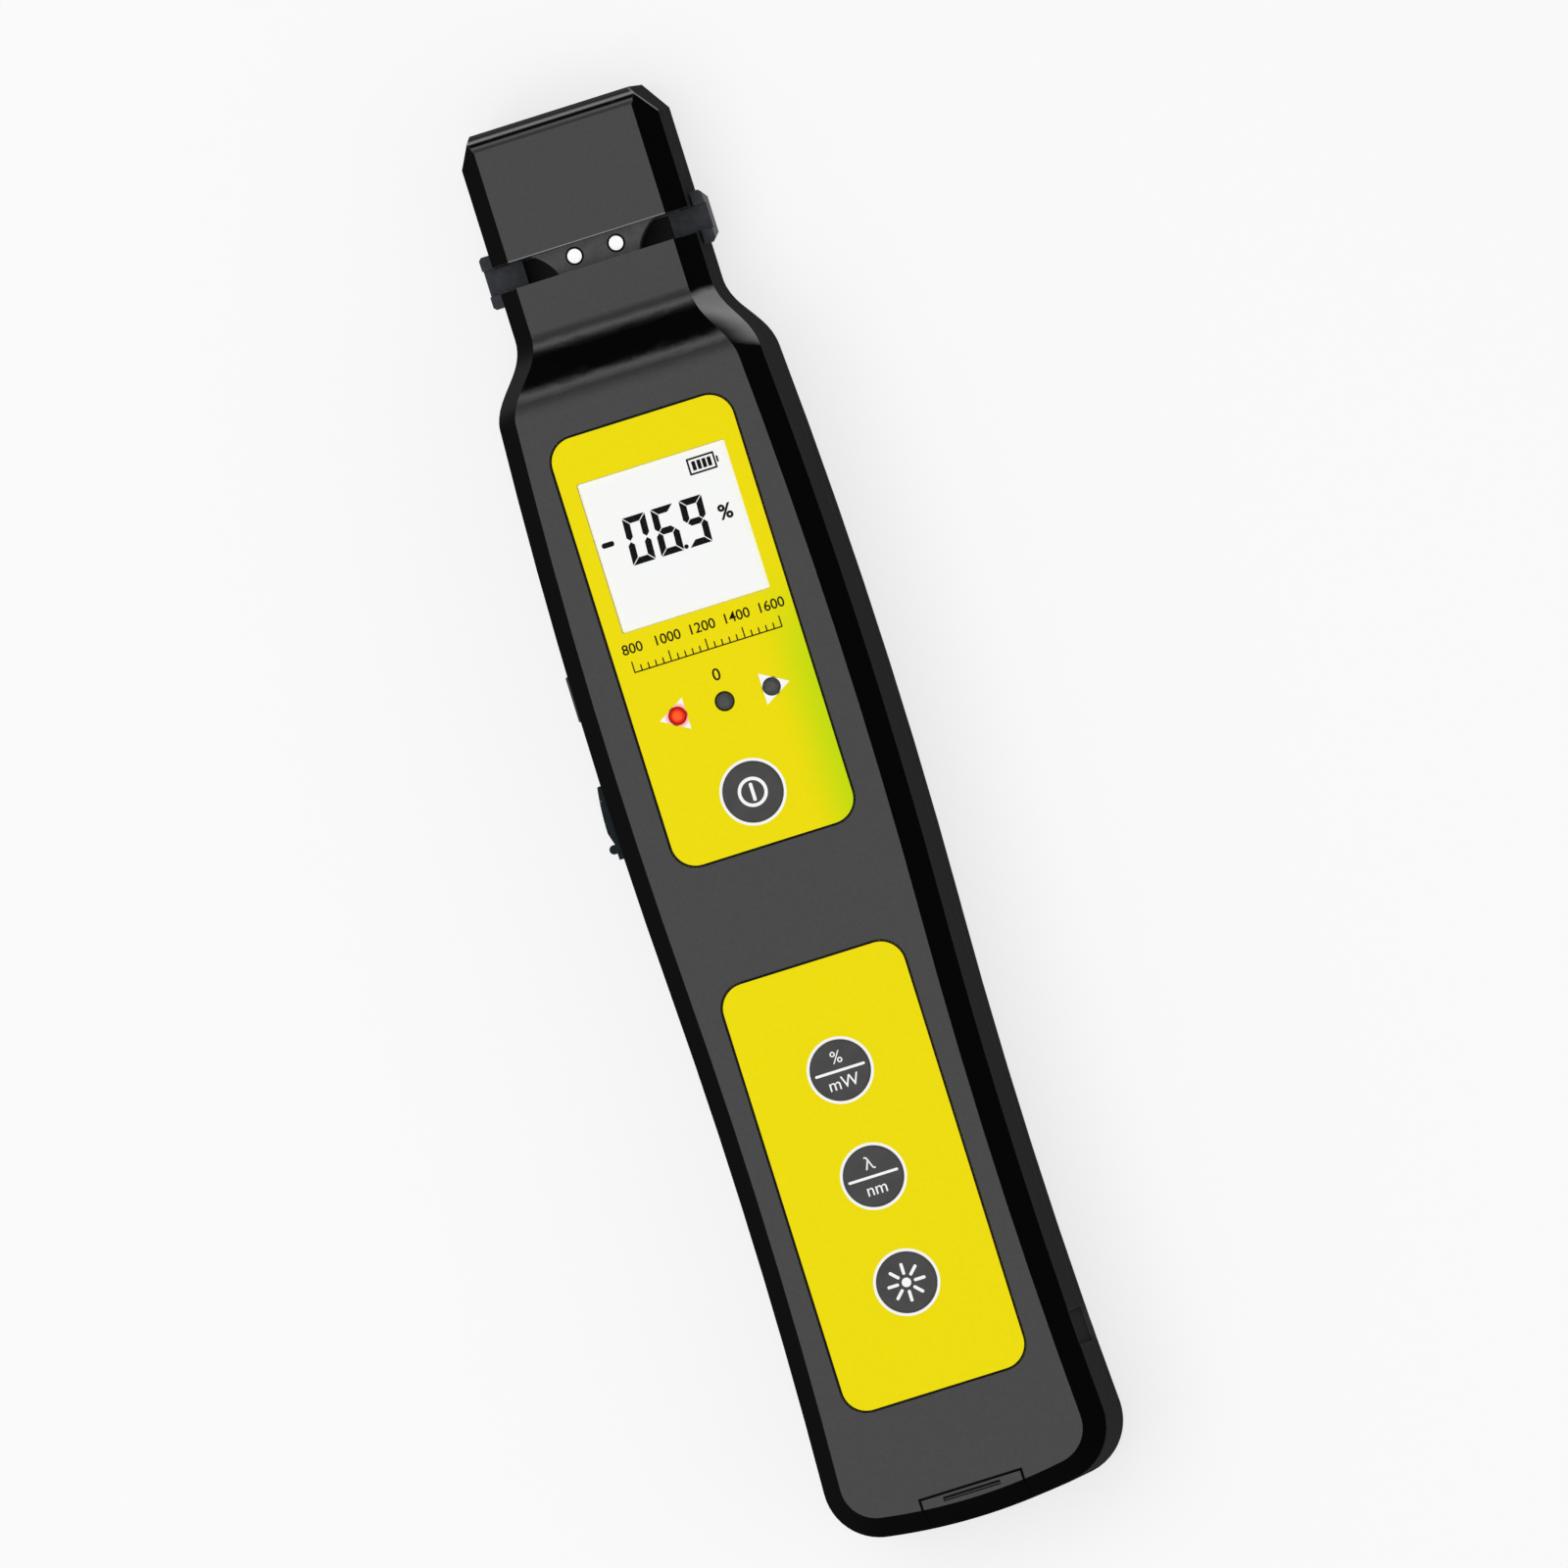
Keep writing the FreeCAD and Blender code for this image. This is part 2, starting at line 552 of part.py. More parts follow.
def head_cap():
    keep = block((-FAR, FAR), (SLOT_TOP, FAR), (PARTING_Z, FAR))
    hollow = INNER.common(block((-FAR, FAR), (SLOT_TOP + WALL, FAR), (-FAR, FAR)).fuse(
        block((-FAR, FAR), (-FAR, FAR), (-FAR, SLOT_WALL_Z))))
    cap = OUTER.common(keep).cut(hollow)
    inside = casing(WALL / 2)
    cap = cap.fuse([boss(x, y, PARTING_Z, NECK_DEPTH).common(inside) for x, y in HEAD_SCREW_PLACES])
    return cap.cut([screw_hole(CASE_SCREW_DIAMETER, x, y, 0, CASE_HOLE_TOP_Z) for x, y in HEAD_SCREW_PLACES])


def compartment():
    half = COMPARTMENT_HALF + COMPARTMENT_WALL
    return block((-half, half), (COMPARTMENT_Y - COMPARTMENT_WALL, COMPARTMENT_TOP + COMPARTMENT_WALL),
                 (WALL / 2, COMPARTMENT_ROOF_Z + COMPARTMENT_WALL))


def door_rod(diameter, half):
    return rod(diameter, Vector(-half, DOOR_HINGE_Y, DOOR_HINGE_Z), Vector(half, DOOR_HINGE_Y, DOOR_HINGE_Z))


def rails():
    out = RAIL_X + RAIL_WIDTH
    low, high = RIB_Y, KEEPER_Y + 2 * KEEPER_LENGTH
    pieces = [block((-out, out), (low, high), (WALL / 2, RAIL_TOP_Z)),
              block((-out, out), (RIB_Y, RIB_Y + RIB_THICKNESS),
                    (WALL / 2, SPRING_Z + SPRING_DIAMETER / 2 + WALL / 2))]
    pieces += [upright_rod(POST_DIAMETER, side * KEEPER_SCREW_X, KEEPER_Y, WALL / 2, RAIL_TOP_Z)
               for side in (-1, 1)]
    channel = block((-RAIL_X, RAIL_X), (low - WALL, high + WALL), (WALL, RAIL_TOP_Z))
    spigot = rod(SPIGOT_DIAMETER, Vector(0, RIB_Y + RIB_THICKNESS / 2, SPRING_Z),
                 Vector(0, LUG_TOP + CLAMP_TRAVEL + WALL / 2, SPRING_Z))
    return pieces[0].fuse(pieces[1:]).cut(channel).fuse(spigot)


def back_shell():
    shell = OUTER.common(block((-FAR, FAR), (-FAR, FAR), (-FAR, PARTING_Z))).cut(INNER)
    inside = casing(WALL / 2)
    screw_places = CASE_SCREW_PLACES + HEAD_SCREW_PLACES
    pillars = [boss(x, y, WALL / 2, PARTING_Z).common(inside) for x, y in screw_places]
    shell = shell.fuse(pillars + [compartment(), rails(), end_block(WALL / 2, PARTING_Z)])
    cuts = [block((-COMPARTMENT_HALF, COMPARTMENT_HALF), (COMPARTMENT_Y, COMPARTMENT_TOP),
                  (-WALL, COMPARTMENT_ROOF_Z)),
            door_rod(DOOR_PIN_DIAMETER + 2 * HINGE_CLEARANCE, COMPARTMENT_HALF + DOOR_PIN_BITE + RUNNING_GAP)]
    for x, y in screw_places:
        cuts.append(screw_hole(CASE_SCREW_DIAMETER, x, y, -WALL, PARTING_Z + WALL))
        cuts.append(upright_rod(CASE_HEAD_DIAMETER + 2 * RUNNING_GAP, x, y, -WALL, CASE_HEAD_SEAT_Z))
    cuts += [screw_hole(SMALL_SCREW_DIAMETER, side * KEEPER_SCREW_X, KEEPER_Y, WALL / 2, RAIL_TOP_Z + WALL)
             for side in (-1, 1)]
    cuts += [cover_recess(), hinge_rod(HINGE_PIN_DIAMETER, COVER_WIDTH / 2 + HINGE_PIN_BITE),
             port_space(), flank_notch()]
    return shell.cut(cuts)


def panel(width, y, length, gap, top):
    return rounded_plate(width + 2 * gap, length + 2 * gap, PANEL_RADIUS + gap, y, PANEL_FLOOR_Z, top)


def display_window():
    size = DISPLAY_SIZE + 2 * SCREW_CLEARANCE
    return rounded_plate(size, size, DISPLAY_RADIUS, DISPLAY_Y, BOARD_TOP_Z, BODY_DEPTH + WALL)


def key_holes():
    return [upright_rod(KEY_DIAMETER + 2 * RUNNING_GAP, 0, y, BOARD_TOP_Z, FAR) for y in KEY_PLACES.values()]


def lamp_holes():
    diameter = LAMP_DIAMETER + 2 * RUNNING_GAP
    return [upright_rod(diameter, x, LAMP_Y, BOARD_TOP_Z, FAR) for x in LAMP_PLACES.values()]


def overlay(place):
    y, length = place
    return panel(PANEL_WIDTH, y, length, 0, PANEL_TOP_Z).cut(key_holes() + lamp_holes() + [display_window()])


def display_module():
    frame = rounded_plate(DISPLAY_FRAME_WIDTH, DISPLAY_FRAME_LENGTH, DISPLAY_RADIUS, DISPLAY_Y,
                          BOARD_TOP_Z, DISPLAY_FRAME_Z)
    glass = rounded_plate(DISPLAY_SIZE, DISPLAY_SIZE, DISPLAY_RADIUS, DISPLAY_Y, BOARD_TOP_Z, PANEL_FLOOR_Z)
    return frame.fuse(glass)


def display_lens():
    return rounded_plate(DISPLAY_SIZE, DISPLAY_SIZE, DISPLAY_RADIUS, DISPLAY_Y, PANEL_FLOOR_Z, PANEL_TOP_Z)


def lamp(x):
    base = PANEL_TOP_Z - LAMP_BODY
    body = upright_rod(LAMP_DIAMETER, x, LAMP_Y, base, PANEL_TOP_Z + LAMP_PROUD)
    rim = [edge for edge in body.Edges if edge.BoundBox.ZMin > PANEL_TOP_Z]
    body = body.makeFillet(LAMP_ROUND, rim)
    pieces = [upright_rod(LAMP_FLANGE_DIAMETER, x, LAMP_Y, base - LAMP_FLANGE_HEIGHT, base)]
    for side in (-1, 1):
        leg_x = x + side * LEG_PITCH / 2
        pieces.append(block((leg_x - LEG_SIZE / 2, leg_x + LEG_SIZE / 2),
                            (LAMP_Y - LEG_SIZE / 2, LAMP_Y + LEG_SIZE / 2), (BOARD_TOP_Z, base)))
    return body.fuse(pieces).removeSplitter()


def key(y):
    flange_z = FRONT_INNER_Z - RUNNING_GAP - KEY_FLANGE_HEIGHT
    cap = upright_rod(KEY_DIAMETER, 0, y, flange_z, BODY_DEPTH + KEY_PROUD)
    rim = [edge for edge in cap.Edges if edge.BoundBox.ZMin > BODY_DEPTH]
    cap = cap.makeChamfer(KEY_PROUD, rim)
    flange = upright_rod(KEY_FLANGE_DIAMETER, 0, y, flange_z, flange_z + KEY_FLANGE_HEIGHT)
    stem = upright_rod(KEY_STEM_DIAMETER, 0, y, SWITCH_TOP_Z + KEY_TRAVEL + RUNNING_GAP, flange_z)
    return cap.fuse([flange, stem])


def main_board():
    board = block((-BOARD_HALF, BOARD_HALF), (BOARD_Y, BOARD_TOP_Y), (BOARD_Z, BOARD_TOP_Z))
    hole = SMALL_SCREW_DIAMETER + 2 * RUNNING_GAP
    return board.cut([upright_rod(hole, x, y, 0, FAR) for x, y in POST_PLACES])


def key_switches():
    switches = []
    half = SWITCH_SIZE / 2
    for y in KEY_PLACES.values():
        body = block((-half, half), (y - half, y + half), (BOARD_TOP_Z, BOARD_TOP_Z + SWITCH_HEIGHT))
        switches.append(body.fuse(upright_rod(ACTUATOR_DIAMETER, 0, y, BOARD_TOP_Z, SWITCH_TOP_Z)))
    return Part.makeCompound(switches)


def screw(diameter, head_diameter, head_height, x, y, seat, tip):
    # Pan head below its seat, shank upward to the tip
    head = upright_rod(head_diameter, x, y, seat - head_height, seat)
    return head.fuse(upright_rod(diameter, x, y, seat - head_height / 2, tip)).removeSplitter()


def case_screws():
    return Part.makeCompound([
        screw(CASE_SCREW_DIAMETER, CASE_HEAD_DIAMETER, CASE_HEAD_HEIGHT, x, y, CASE_HEAD_SEAT_Z, CASE_TIP_Z)
        for x, y in CASE_SCREW_PLACES + HEAD_SCREW_PLACES])


def board_screws():
    return Part.makeCompound([
        screw(SMALL_SCREW_DIAMETER, SMALL_HEAD_DIAMETER, SMALL_HEAD_HEIGHT, x, y, BOARD_Z,
              BOARD_TOP_Z + SMALL_SCREW_REACH - WALL / 2) for x, y in POST_PLACES])


def slide_bar():
    # One moulding: flat bar, lug with the arm to the left, and the carrier that lifts the anvil
    bar = block((-BAR_HALF, BAR_HALF), (LUG_Y, ANVIL_TOP), (BAR_Z, BAR_TOP_Z))
    lug = block((-BAR_HALF, BAR_HALF), (LUG_Y, LUG_TOP), (BAR_Z, ARM_TOP_Z))
    arm_y = LUG_Y + (LUG_LENGTH - ARM_WIDTH) / 2
    arm = block((-SLIDER_X, BAR_HALF), (arm_y, arm_y + ARM_WIDTH), (ARM_Z, ARM_TOP_Z))
    carrier = block((-CARRIER_WIDTH / 2, CARRIER_WIDTH / 2), (ANVIL_TOP - CARRIER_LENGTH, ANVIL_TOP),
                    (BAR_Z, ANVIL_BACK_Z))
    return bar.fuse([lug, arm, carrier]).removeSplitter()


def thumb_slider():
    # Grip with a bowed outer face, grooves across the bow, and a flat toe that carries a finger stop
    low = LUG_Y + LUG_LENGTH / 2 - SLIDER_LENGTH / 2
    high = low + SLIDER_LENGTH
    back, front = SLIDER_Z - SLIDER_HEIGHT / 2, SLIDER_Z + SLIDER_HEIGHT / 2
    edge_x, crest_x = -SLIDER_X - SLIDER_EDGE, -SLIDER_X - SLIDER_PROUD
    top, crest = Vector(edge_x, high, back), Vector(crest_x, low + CREST_RISE, back)
    bow = Part.BezierCurve()
    bow.setPoles([crest, Vector(crest_x, (crest.y + high) / 2, back), top])
    around = [top, Vector(-SLIDER_X, high, back), Vector(-SLIDER_X, low, back), Vector(edge_x, low, back),
              Vector(edge_x, low + TOE_LENGTH, back), crest]
    outline = Part.Wire([bow.toShape()] + [Part.makeLine(a, b) for a, b in zip(around, around[1:])])
    grip = Part.Face(outline).extrude(Vector(0, 0, SLIDER_HEIGHT))
    ends = [edge for edge in grip.Edges
            if edge.CenterOfMass.x < edge_x + 0.01 and edge.CenterOfMass.y > crest.y - 0.01]
    grip = grip.makeFillet(SLIDER_ROUND, ends)
    half = RIB_GROOVE / 2
    centres = [crest.y + index * RIB_PITCH for index in range(1, RIB_COUNT + 1)]
    grooves = [block((crest_x - WALL, crest_x + RIB_GROOVE), (y - half, y + half),
                     (back + NUB_DIAMETER, front - NUB_DIAMETER)) for y in centres]
    nub = upright_rod(NUB_DIAMETER, -SLIDER_X - NUB_PROUD + NUB_DIAMETER / 2, low + NUB_RISE,
                      back + NUB_DIAMETER / 2, front - NUB_DIAMETER / 2)
    return grip.cut(grooves).fuse(nub)


def anvil_outline():
    flare = Vector((ANVIL_HALF + ANVIL_TIP_HALF) / 2 - ANVIL_FLARE,
                   SLOT_Y + SLOT_HEIGHT / 2 - ANVIL_FLARE / 2, ANVIL_BACK_Z)
    edges = []
    for side in (-1, 1):
        top = Vector(side * ANVIL_HALF, ANVIL_TOP, ANVIL_BACK_Z)
        shoulder = Vector(side * ANVIL_HALF, SLOT_TOP, ANVIL_BACK_Z)
        heel = Vector(side * ANVIL_TIP_HALF, SLOT_Y, ANVIL_BACK_Z)
        edges.append(Part.makeLine(top, shoulder))
        edges.append(Part.Arc(shoulder, Vector(side * flare.x, flare.y, flare.z), heel).toShape())
    edges.append(Part.Arc(Vector(-ANVIL_TIP_HALF, SLOT_Y, ANVIL_BACK_Z),
                          Vector(0, ANVIL_TIP_Y, ANVIL_BACK_Z),
                          Vector(ANVIL_TIP_HALF, SLOT_Y, ANVIL_BACK_Z)).toShape())
    edges.append(Part.makeLine(Vector(-ANVIL_HALF, ANVIL_TOP, ANVIL_BACK_Z),
                               Vector(ANVIL_HALF, ANVIL_TOP, ANVIL_BACK_Z)))
    return Part.Wire(Part.__sortEdges__(edges))


def pin_rods(diameter, proud):
    return [rod(diameter, Vector(side * PIN_PITCH / 2, SLOT_Y + PIN_RISE, ANVIL_BACK_Z),
                Vector(side * PIN_PITCH / 2, SLOT_Y + PIN_RISE, ANVIL_FRONT_Z + proud)) for side in (-1, 1)]


def bend_anvil():
    solid = Part.Face(anvil_outline()).extrude(Vector(0, 0, ANVIL_THICKNESS))
    return solid.cut(pin_rods(PIN_DIAMETER + 2 * SCREW_CLEARANCE, WALL))


def anvil_pins():
    return Part.makeCompound(pin_rods(PIN_DIAMETER, SCREW_CLEARANCE))


def detector_rod(side, diameter, start, end):
    angle = math.radians(DETECTOR_ANGLE)
    z = ANVIL_BACK_Z + ANVIL_THICKNESS / 2
    tip = Vector(0, ANVIL_TIP_Y, z)
    ray = Vector(side * math.cos(angle), -math.sin(angle), 0)
    return rod(diameter, tip + ray * start, tip + ray * end)


def bend_block():
    half = NECK_INNER_HALF - SEAT_GAP
    base = block((-half, half), (BLOCK_Y, SLOT_Y), (WALL, ANVIL_FRONT_Z + SEAT_GAP))
    tunnel = block((-RAIL_X, RAIL_X), (BLOCK_Y - WALL, SLOT_TOP), (0, RAIL_TOP_Z))
    plate_space = block((-FAR, FAR), (GUIDE_Y - SEAT_GAP, SLOT_TOP), (0, GUIDE_TOP_Z))
    centre = Vector(0, ANVIL_TIP_Y + TIP_RADIUS, 0)
    saddle = Part.makeCylinder(TIP_RADIUS + CLAMP_GAP, FAR, centre)
    cuts = [tunnel, plate_space, saddle]
    for side in (-1, 1):
        cuts.append(detector_rod(side, DETECTOR_DIAMETER + 2 * SCREW_CLEARANCE, DETECTOR_REACH, FAR))
        cuts.append(detector_rod(side, LIGHT_BORE_DIAMETER, 0, FAR))
    return base.cut(cuts)


def detector(side):
    return detector_rod(side, DETECTOR_DIAMETER, DETECTOR_REACH, DETECTOR_REACH + DETECTOR_LENGTH)


def fiber_guide():
    inner_half = NECK_INNER_HALF - RUNNING_GAP
    plate = block((-inner_half, inner_half), (GUIDE_Y, GUIDE_TOP_Y), (PARTING_Z, GUIDE_TOP_Z))
    window = block((-GUIDE_WINDOW_HALF, GUIDE_WINDOW_HALF), (SLOT_Y, SLOT_TOP), (0, FAR))
    ear_x = NECK_HALF + SEAT_GAP
    ear_out = ear_x + EAR_THICKNESS
    pieces = []
    for side in (-1, 1):
        reach = sorted((side * (inner_half - WALL), side * (ear_x + EAR_THICKNESS / 2)))
        pieces.append(block(reach, (SLOT_Y + RUNNING_GAP, SLOT_TOP - RUNNING_GAP), (PARTING_Z, GUIDE_TOP_Z)))
        lip_z = GUIDE_TOP_Z + EAR_LIP
        outline = [(GUIDE_Y, PARTING_Z - EAR_DROP), (GUIDE_TOP_Y, PARTING_Z - EAR_DROP),
                   (GUIDE_TOP_Y + EAR_FLARE, lip_z), (SLOT_TOP, lip_z), (SLOT_TOP, GUIDE_TOP_Z),
                   (SLOT_Y, GUIDE_TOP_Z), (SLOT_Y, lip_z), (GUIDE_Y - EAR_FLARE, lip_z)]
        ear = prism([Vector(side * ear_x, y, z) for y, z in outline], Vector(side * EAR_THICKNESS, 0, 0))
        ends = [edge for edge in ear.Edges
                if edge.BoundBox.XLength < 0.01 and abs(abs(edge.CenterOfMass.x) - ear_out) < 0.01
                and (edge.CenterOfMass.y > GUIDE_TOP_Y or edge.CenterOfMass.y < GUIDE_Y)
                and edge.BoundBox.ZLength > EAR_LIP]
        pieces.append(ear.makeChamfer(EAR_FLARE / 2, ends))
    return plate.cut(window).fuse(pieces).removeSplitter()


def return_spring():
    radius = (SPRING_DIAMETER - SPRING_WIRE) / 2
    height = SPRING_LENGTH - SPRING_WIRE - 2 * RUNNING_GAP
    helix = Part.makeHelix(height / SPRING_TURNS, height, radius)
    half = SPRING_WIRE / 2
    corners = [(radius - half, -half), (radius + half, -half), (radius + half, half), (radius - half, half)]
    points = [Vector(x, 0, z) for x, z in corners]
    spring = Part.Wire(helix).makePipeShell([Part.makePolygon(points + points[:1])], True, True)
    spring.rotate(Vector(0, 0, 0), Vector(1, 0, 0), -90)
    spring.translate(Vector(0, LUG_TOP + RUNNING_GAP + half, SPRING_Z))
    return spring


def bar_keeper():
    half = KEEPER_SCREW_X + POST_RADIUS
    plate = block((-half, half), (KEEPER_Y - KEEPER_LENGTH / 2, KEEPER_Y + KEEPER_LENGTH / 2),
                  (RAIL_TOP_Z, RAIL_TOP_Z + KEEPER_THICKNESS))
    corners = [edge for edge in plate.Edges if edge.BoundBox.ZLength > KEEPER_THICKNESS / 2]
    plate = plate.makeFillet(POST_RADIUS / 2, corners)
    hole = SMALL_SCREW_DIAMETER + 2 * RUNNING_GAP
    return plate.cut([upright_rod(hole, side * KEEPER_SCREW_X, KEEPER_Y, 0, FAR) for side in (-1, 1)])


def keeper_screws():
    seat = RAIL_TOP_Z + KEEPER_THICKNESS
    screws = []
    for side in (-1, 1):
        x = side * KEEPER_SCREW_X
        head = upright_rod(SMALL_HEAD_DIAMETER, x, KEEPER_Y, seat, seat + SMALL_HEAD_HEIGHT)
        shank = upright_rod(SMALL_SCREW_DIAMETER, x, KEEPER_Y, WALL, seat + SMALL_HEAD_HEIGHT / 2)
        screws.append(head.fuse(shank).removeSplitter())
    return Part.makeCompound(screws)


def cell(side):
    # The two cells point opposite ways
    x = side * CELL_X
    low = COMPARTMENT_Y + CONTACT_DEPTH
    high = low + CELL_LENGTH
    if side > 0:
        start, neck, tip = low, high - CELL_NUB_LENGTH, high
    else:
        start, neck, tip = high, low + CELL_NUB_LENGTH, low
    body = rod(CELL_DIAMETER, Vector(x, start, CELL_Z), Vector(x, neck, CELL_Z))
    nub = rod(CELL_NUB_DIAMETER, Vector(x, neck, CELL_Z), Vector(x, tip, CELL_Z))
    return body.fuse(nub)


def bowed_contact(x, wall_y, toward):
    # Leaf bent toward the cell, with its two feet flat on the wall of the compartment
    t = CONTACT_THICKNESS
    reach = CONTACT_DEPTH - SCREW_CLEARANCE
    width = CELL_NUB_DIAMETER
    low, high = CELL_Z - width, CELL_Z + width
    foot = width / 3
    profile = [(0, low - foot), (t, low - foot), (t, low), (reach, CELL_Z - t), (reach, CELL_Z + t),
               (t, high), (t, high + foot), (0, high + foot), (0, high), (reach - t, CELL_Z), (0, low)]
    points = [Vector(x - width / 2, wall_y + toward * depth, z) for depth, z in profile]
    return prism(points, Vector(width, 0, 0))


def battery_contacts():
    pieces = []
    for wall_y, toward in ((COMPARTMENT_Y, 1), (COMPARTMENT_TOP, -1)):
        pieces += [bowed_contact(side * CELL_X, wall_y, toward) for side in (-1, 1)]
    return Part.makeCompound(pieces)


def battery_door():
    # Plate with a round hinge edge, a pin at each end of that edge, and a latch at the other end
    low = COMPARTMENT_Y + DOOR_GAP
    half = COMPARTMENT_HALF - DOOR_GAP
    top_z = DOOR_SINK + DOOR_THICKNESS
    latch_y = low + DOOR_GAP
    plate = block((-half, half), (low, DOOR_HINGE_Y), (DOOR_SINK, top_z))
    latch = block((-LATCH_WIDTH / 2, LATCH_WIDTH / 2), (latch_y, latch_y + LATCH_THICKNESS),
                  (DOOR_HINGE_Z, top_z + LATCH_HEIGHT))
    pins = door_rod(DOOR_PIN_DIAMETER, COMPARTMENT_HALF + DOOR_PIN_BITE)
    notch = upright_rod(THUMB_NOTCH_DIAMETER, 0, low, -WALL, DOOR_SINK + THUMB_NOTCH_DEPTH)
    return plate.fuse([door_rod(DOOR_THICKNESS, half), pins, latch]).removeSplitter().cut(notch)


def laser_port():
    mouth = Vector(0, PORT_Y, PORT_Z)
    body = rod(PORT_DIAMETER, mouth, Vector(0, LASER_Y, PORT_Z))
    flange = rod(PORT_FLANGE_DIAMETER, mouth, mouth + Vector(0, PORT_FLANGE_HEIGHT, 0))
    bore = rod(PORT_BORE_DIAMETER, Vector(0, 0, PORT_Z), Vector(0, LASER_Y, PORT_Z))
    return body.fuse(flange).removeSplitter().cut(bore)


def laser_module():
    return rod(LASER_DIAMETER, Vector(0, LASER_Y, PORT_Z), Vector(0, LASER_END, PORT_Z))


def port_cover():
    zone = cover_zone(0, HINGE_Z)
    plate = OUTER.common(zone).cut(COVER_BACK)
    barrel = hinge_rod(HINGE_DIAMETER, COVER_WIDTH / 2)
    web = block((-COVER_WIDTH / 2, COVER_WIDTH / 2), (COVER_THICKNESS / 2, HINGE_Y),
                (HINGE_Z, HINGE_Z + HINGE_DIAMETER / 2))
    groove_top = COVER_REACH - NAIL_GROOVE_EDGE
    groove = block((-NAIL_GROOVE_WIDTH / 2, NAIL_GROOVE_WIDTH / 2),
                   (groove_top - NAIL_GROOVE_HEIGHT, groove_top), (BODY_DEPTH - NAIL_GROOVE_DEPTH, FAR))
    bore = hinge_rod(HINGE_PIN_DIAMETER + 2 * HINGE_CLEARANCE, COVER_WIDTH)
    return plate.fuse([barrel, web]).cut([groove, bore])


def cover_pin():
    return hinge_rod(HINGE_PIN_DIAMETER, COVER_WIDTH / 2 + HINGE_PIN_BITE)


NODES = {
    "front_shell": front_shell(),
    "head_cap": head_cap(),
    "back_shell": back_shell(),
    "upper_overlay": overlay(UPPER_PANEL),
    "lower_overlay": overlay(LOWER_PANEL),
    "display_module": display_module(),
    "display_lens": display_lens(),
    "main_board": main_board(),
    "key_switches": key_switches(),
    "case_screws": case_screws(),
    "board_screws": board_screws(),
    "slide_bar": slide_bar(),
    "thumb_slider": thumb_slider(),
    "bend_anvil": bend_anvil(),
    "anvil_pins": anvil_pins(),
    "bend_block": bend_block(),
    "detector_left": detector(-1),
    "detector_right": detector(1),
    "fiber_guide": fiber_guide(),
    "return_spring": return_spring(),
    "bar_keeper": bar_keeper(),
    "keeper_screws": keeper_screws(),
    "cell_left": cell(-1),
    "cell_right": cell(1),
    "battery_contacts": battery_contacts(),
    "battery_door": battery_door(),
    "laser_port": laser_port(),
    "laser_module": laser_module(),
    "port_cover": port_cover(),
    "cover_pin": cover_pin(),
}
NODES.update({name: lamp(x) for name, x in LAMP_PLACES.items()})
NODES.update({name: key(y) for name, y in KEY_PLACES.items()})

os.makedirs("parts", exist_ok=True)
for name, shape in NODES.items():
    shape.translate(Vector(0, -LENGTH / 2, 0))
    shape.exportStep("parts/" + name + ".step")
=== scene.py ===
import json
import math

import bmesh
import bpy
from mathutils import Matrix, Vector


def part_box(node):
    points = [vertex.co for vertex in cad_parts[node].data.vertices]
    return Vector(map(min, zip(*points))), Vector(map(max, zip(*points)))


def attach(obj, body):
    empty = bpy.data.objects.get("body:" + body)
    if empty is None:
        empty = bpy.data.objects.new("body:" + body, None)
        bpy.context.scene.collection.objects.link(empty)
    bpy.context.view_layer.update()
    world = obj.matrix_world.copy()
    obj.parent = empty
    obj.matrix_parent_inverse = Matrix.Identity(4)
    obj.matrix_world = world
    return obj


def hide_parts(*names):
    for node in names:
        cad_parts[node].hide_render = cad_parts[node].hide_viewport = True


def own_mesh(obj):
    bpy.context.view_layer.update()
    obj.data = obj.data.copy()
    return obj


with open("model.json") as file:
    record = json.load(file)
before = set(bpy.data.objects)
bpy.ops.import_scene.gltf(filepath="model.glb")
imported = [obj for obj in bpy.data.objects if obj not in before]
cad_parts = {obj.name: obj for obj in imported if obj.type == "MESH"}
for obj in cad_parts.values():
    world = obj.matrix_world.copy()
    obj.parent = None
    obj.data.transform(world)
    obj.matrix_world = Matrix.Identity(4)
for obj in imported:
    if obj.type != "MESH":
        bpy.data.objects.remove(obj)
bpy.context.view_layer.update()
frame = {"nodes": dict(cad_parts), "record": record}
nodes = frame["nodes"]
mm = 0.001
print("frame loaded:", len(nodes), "nodes")


def topCentre(node):
    low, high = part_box(node)
    return Vector(((low.x + high.x) / 2, (low.y + high.y) / 2, high.z))


def toLinear(hexColour):
    shares = [int(hexColour[i:i + 2], 16) / 255 for i in (1, 3, 5)]
    return [s / 12.92 if s <= 0.04045 else ((s + 0.055) / 1.055) ** 2.4 for s in shares] + [1.0]


def addNode(tree, kind, settings=None, links=None):
    node = tree.nodes.new(kind)
    for name, value in (settings or {}).items():
        setattr(node, name, value)
    for socket, value in (links or {}).items():
        if isinstance(value, bpy.types.NodeSocket):
            tree.links.new(value, node.inputs[socket])
        else:
            node.inputs[socket].default_value = value
    return node


def startMaterial(name, sockets):
    material = bpy.data.materials.new(name)
    material.use_nodes = True
    tree = material.node_tree
    shader = tree.nodes["Principled BSDF"]
    for socket, value in sockets.items():
        shader.inputs[socket].default_value = value
    return material, tree, shader


def perMm(size):
    return 1 / (size * mm)  # noise scale whose grain is that many millimetres wide


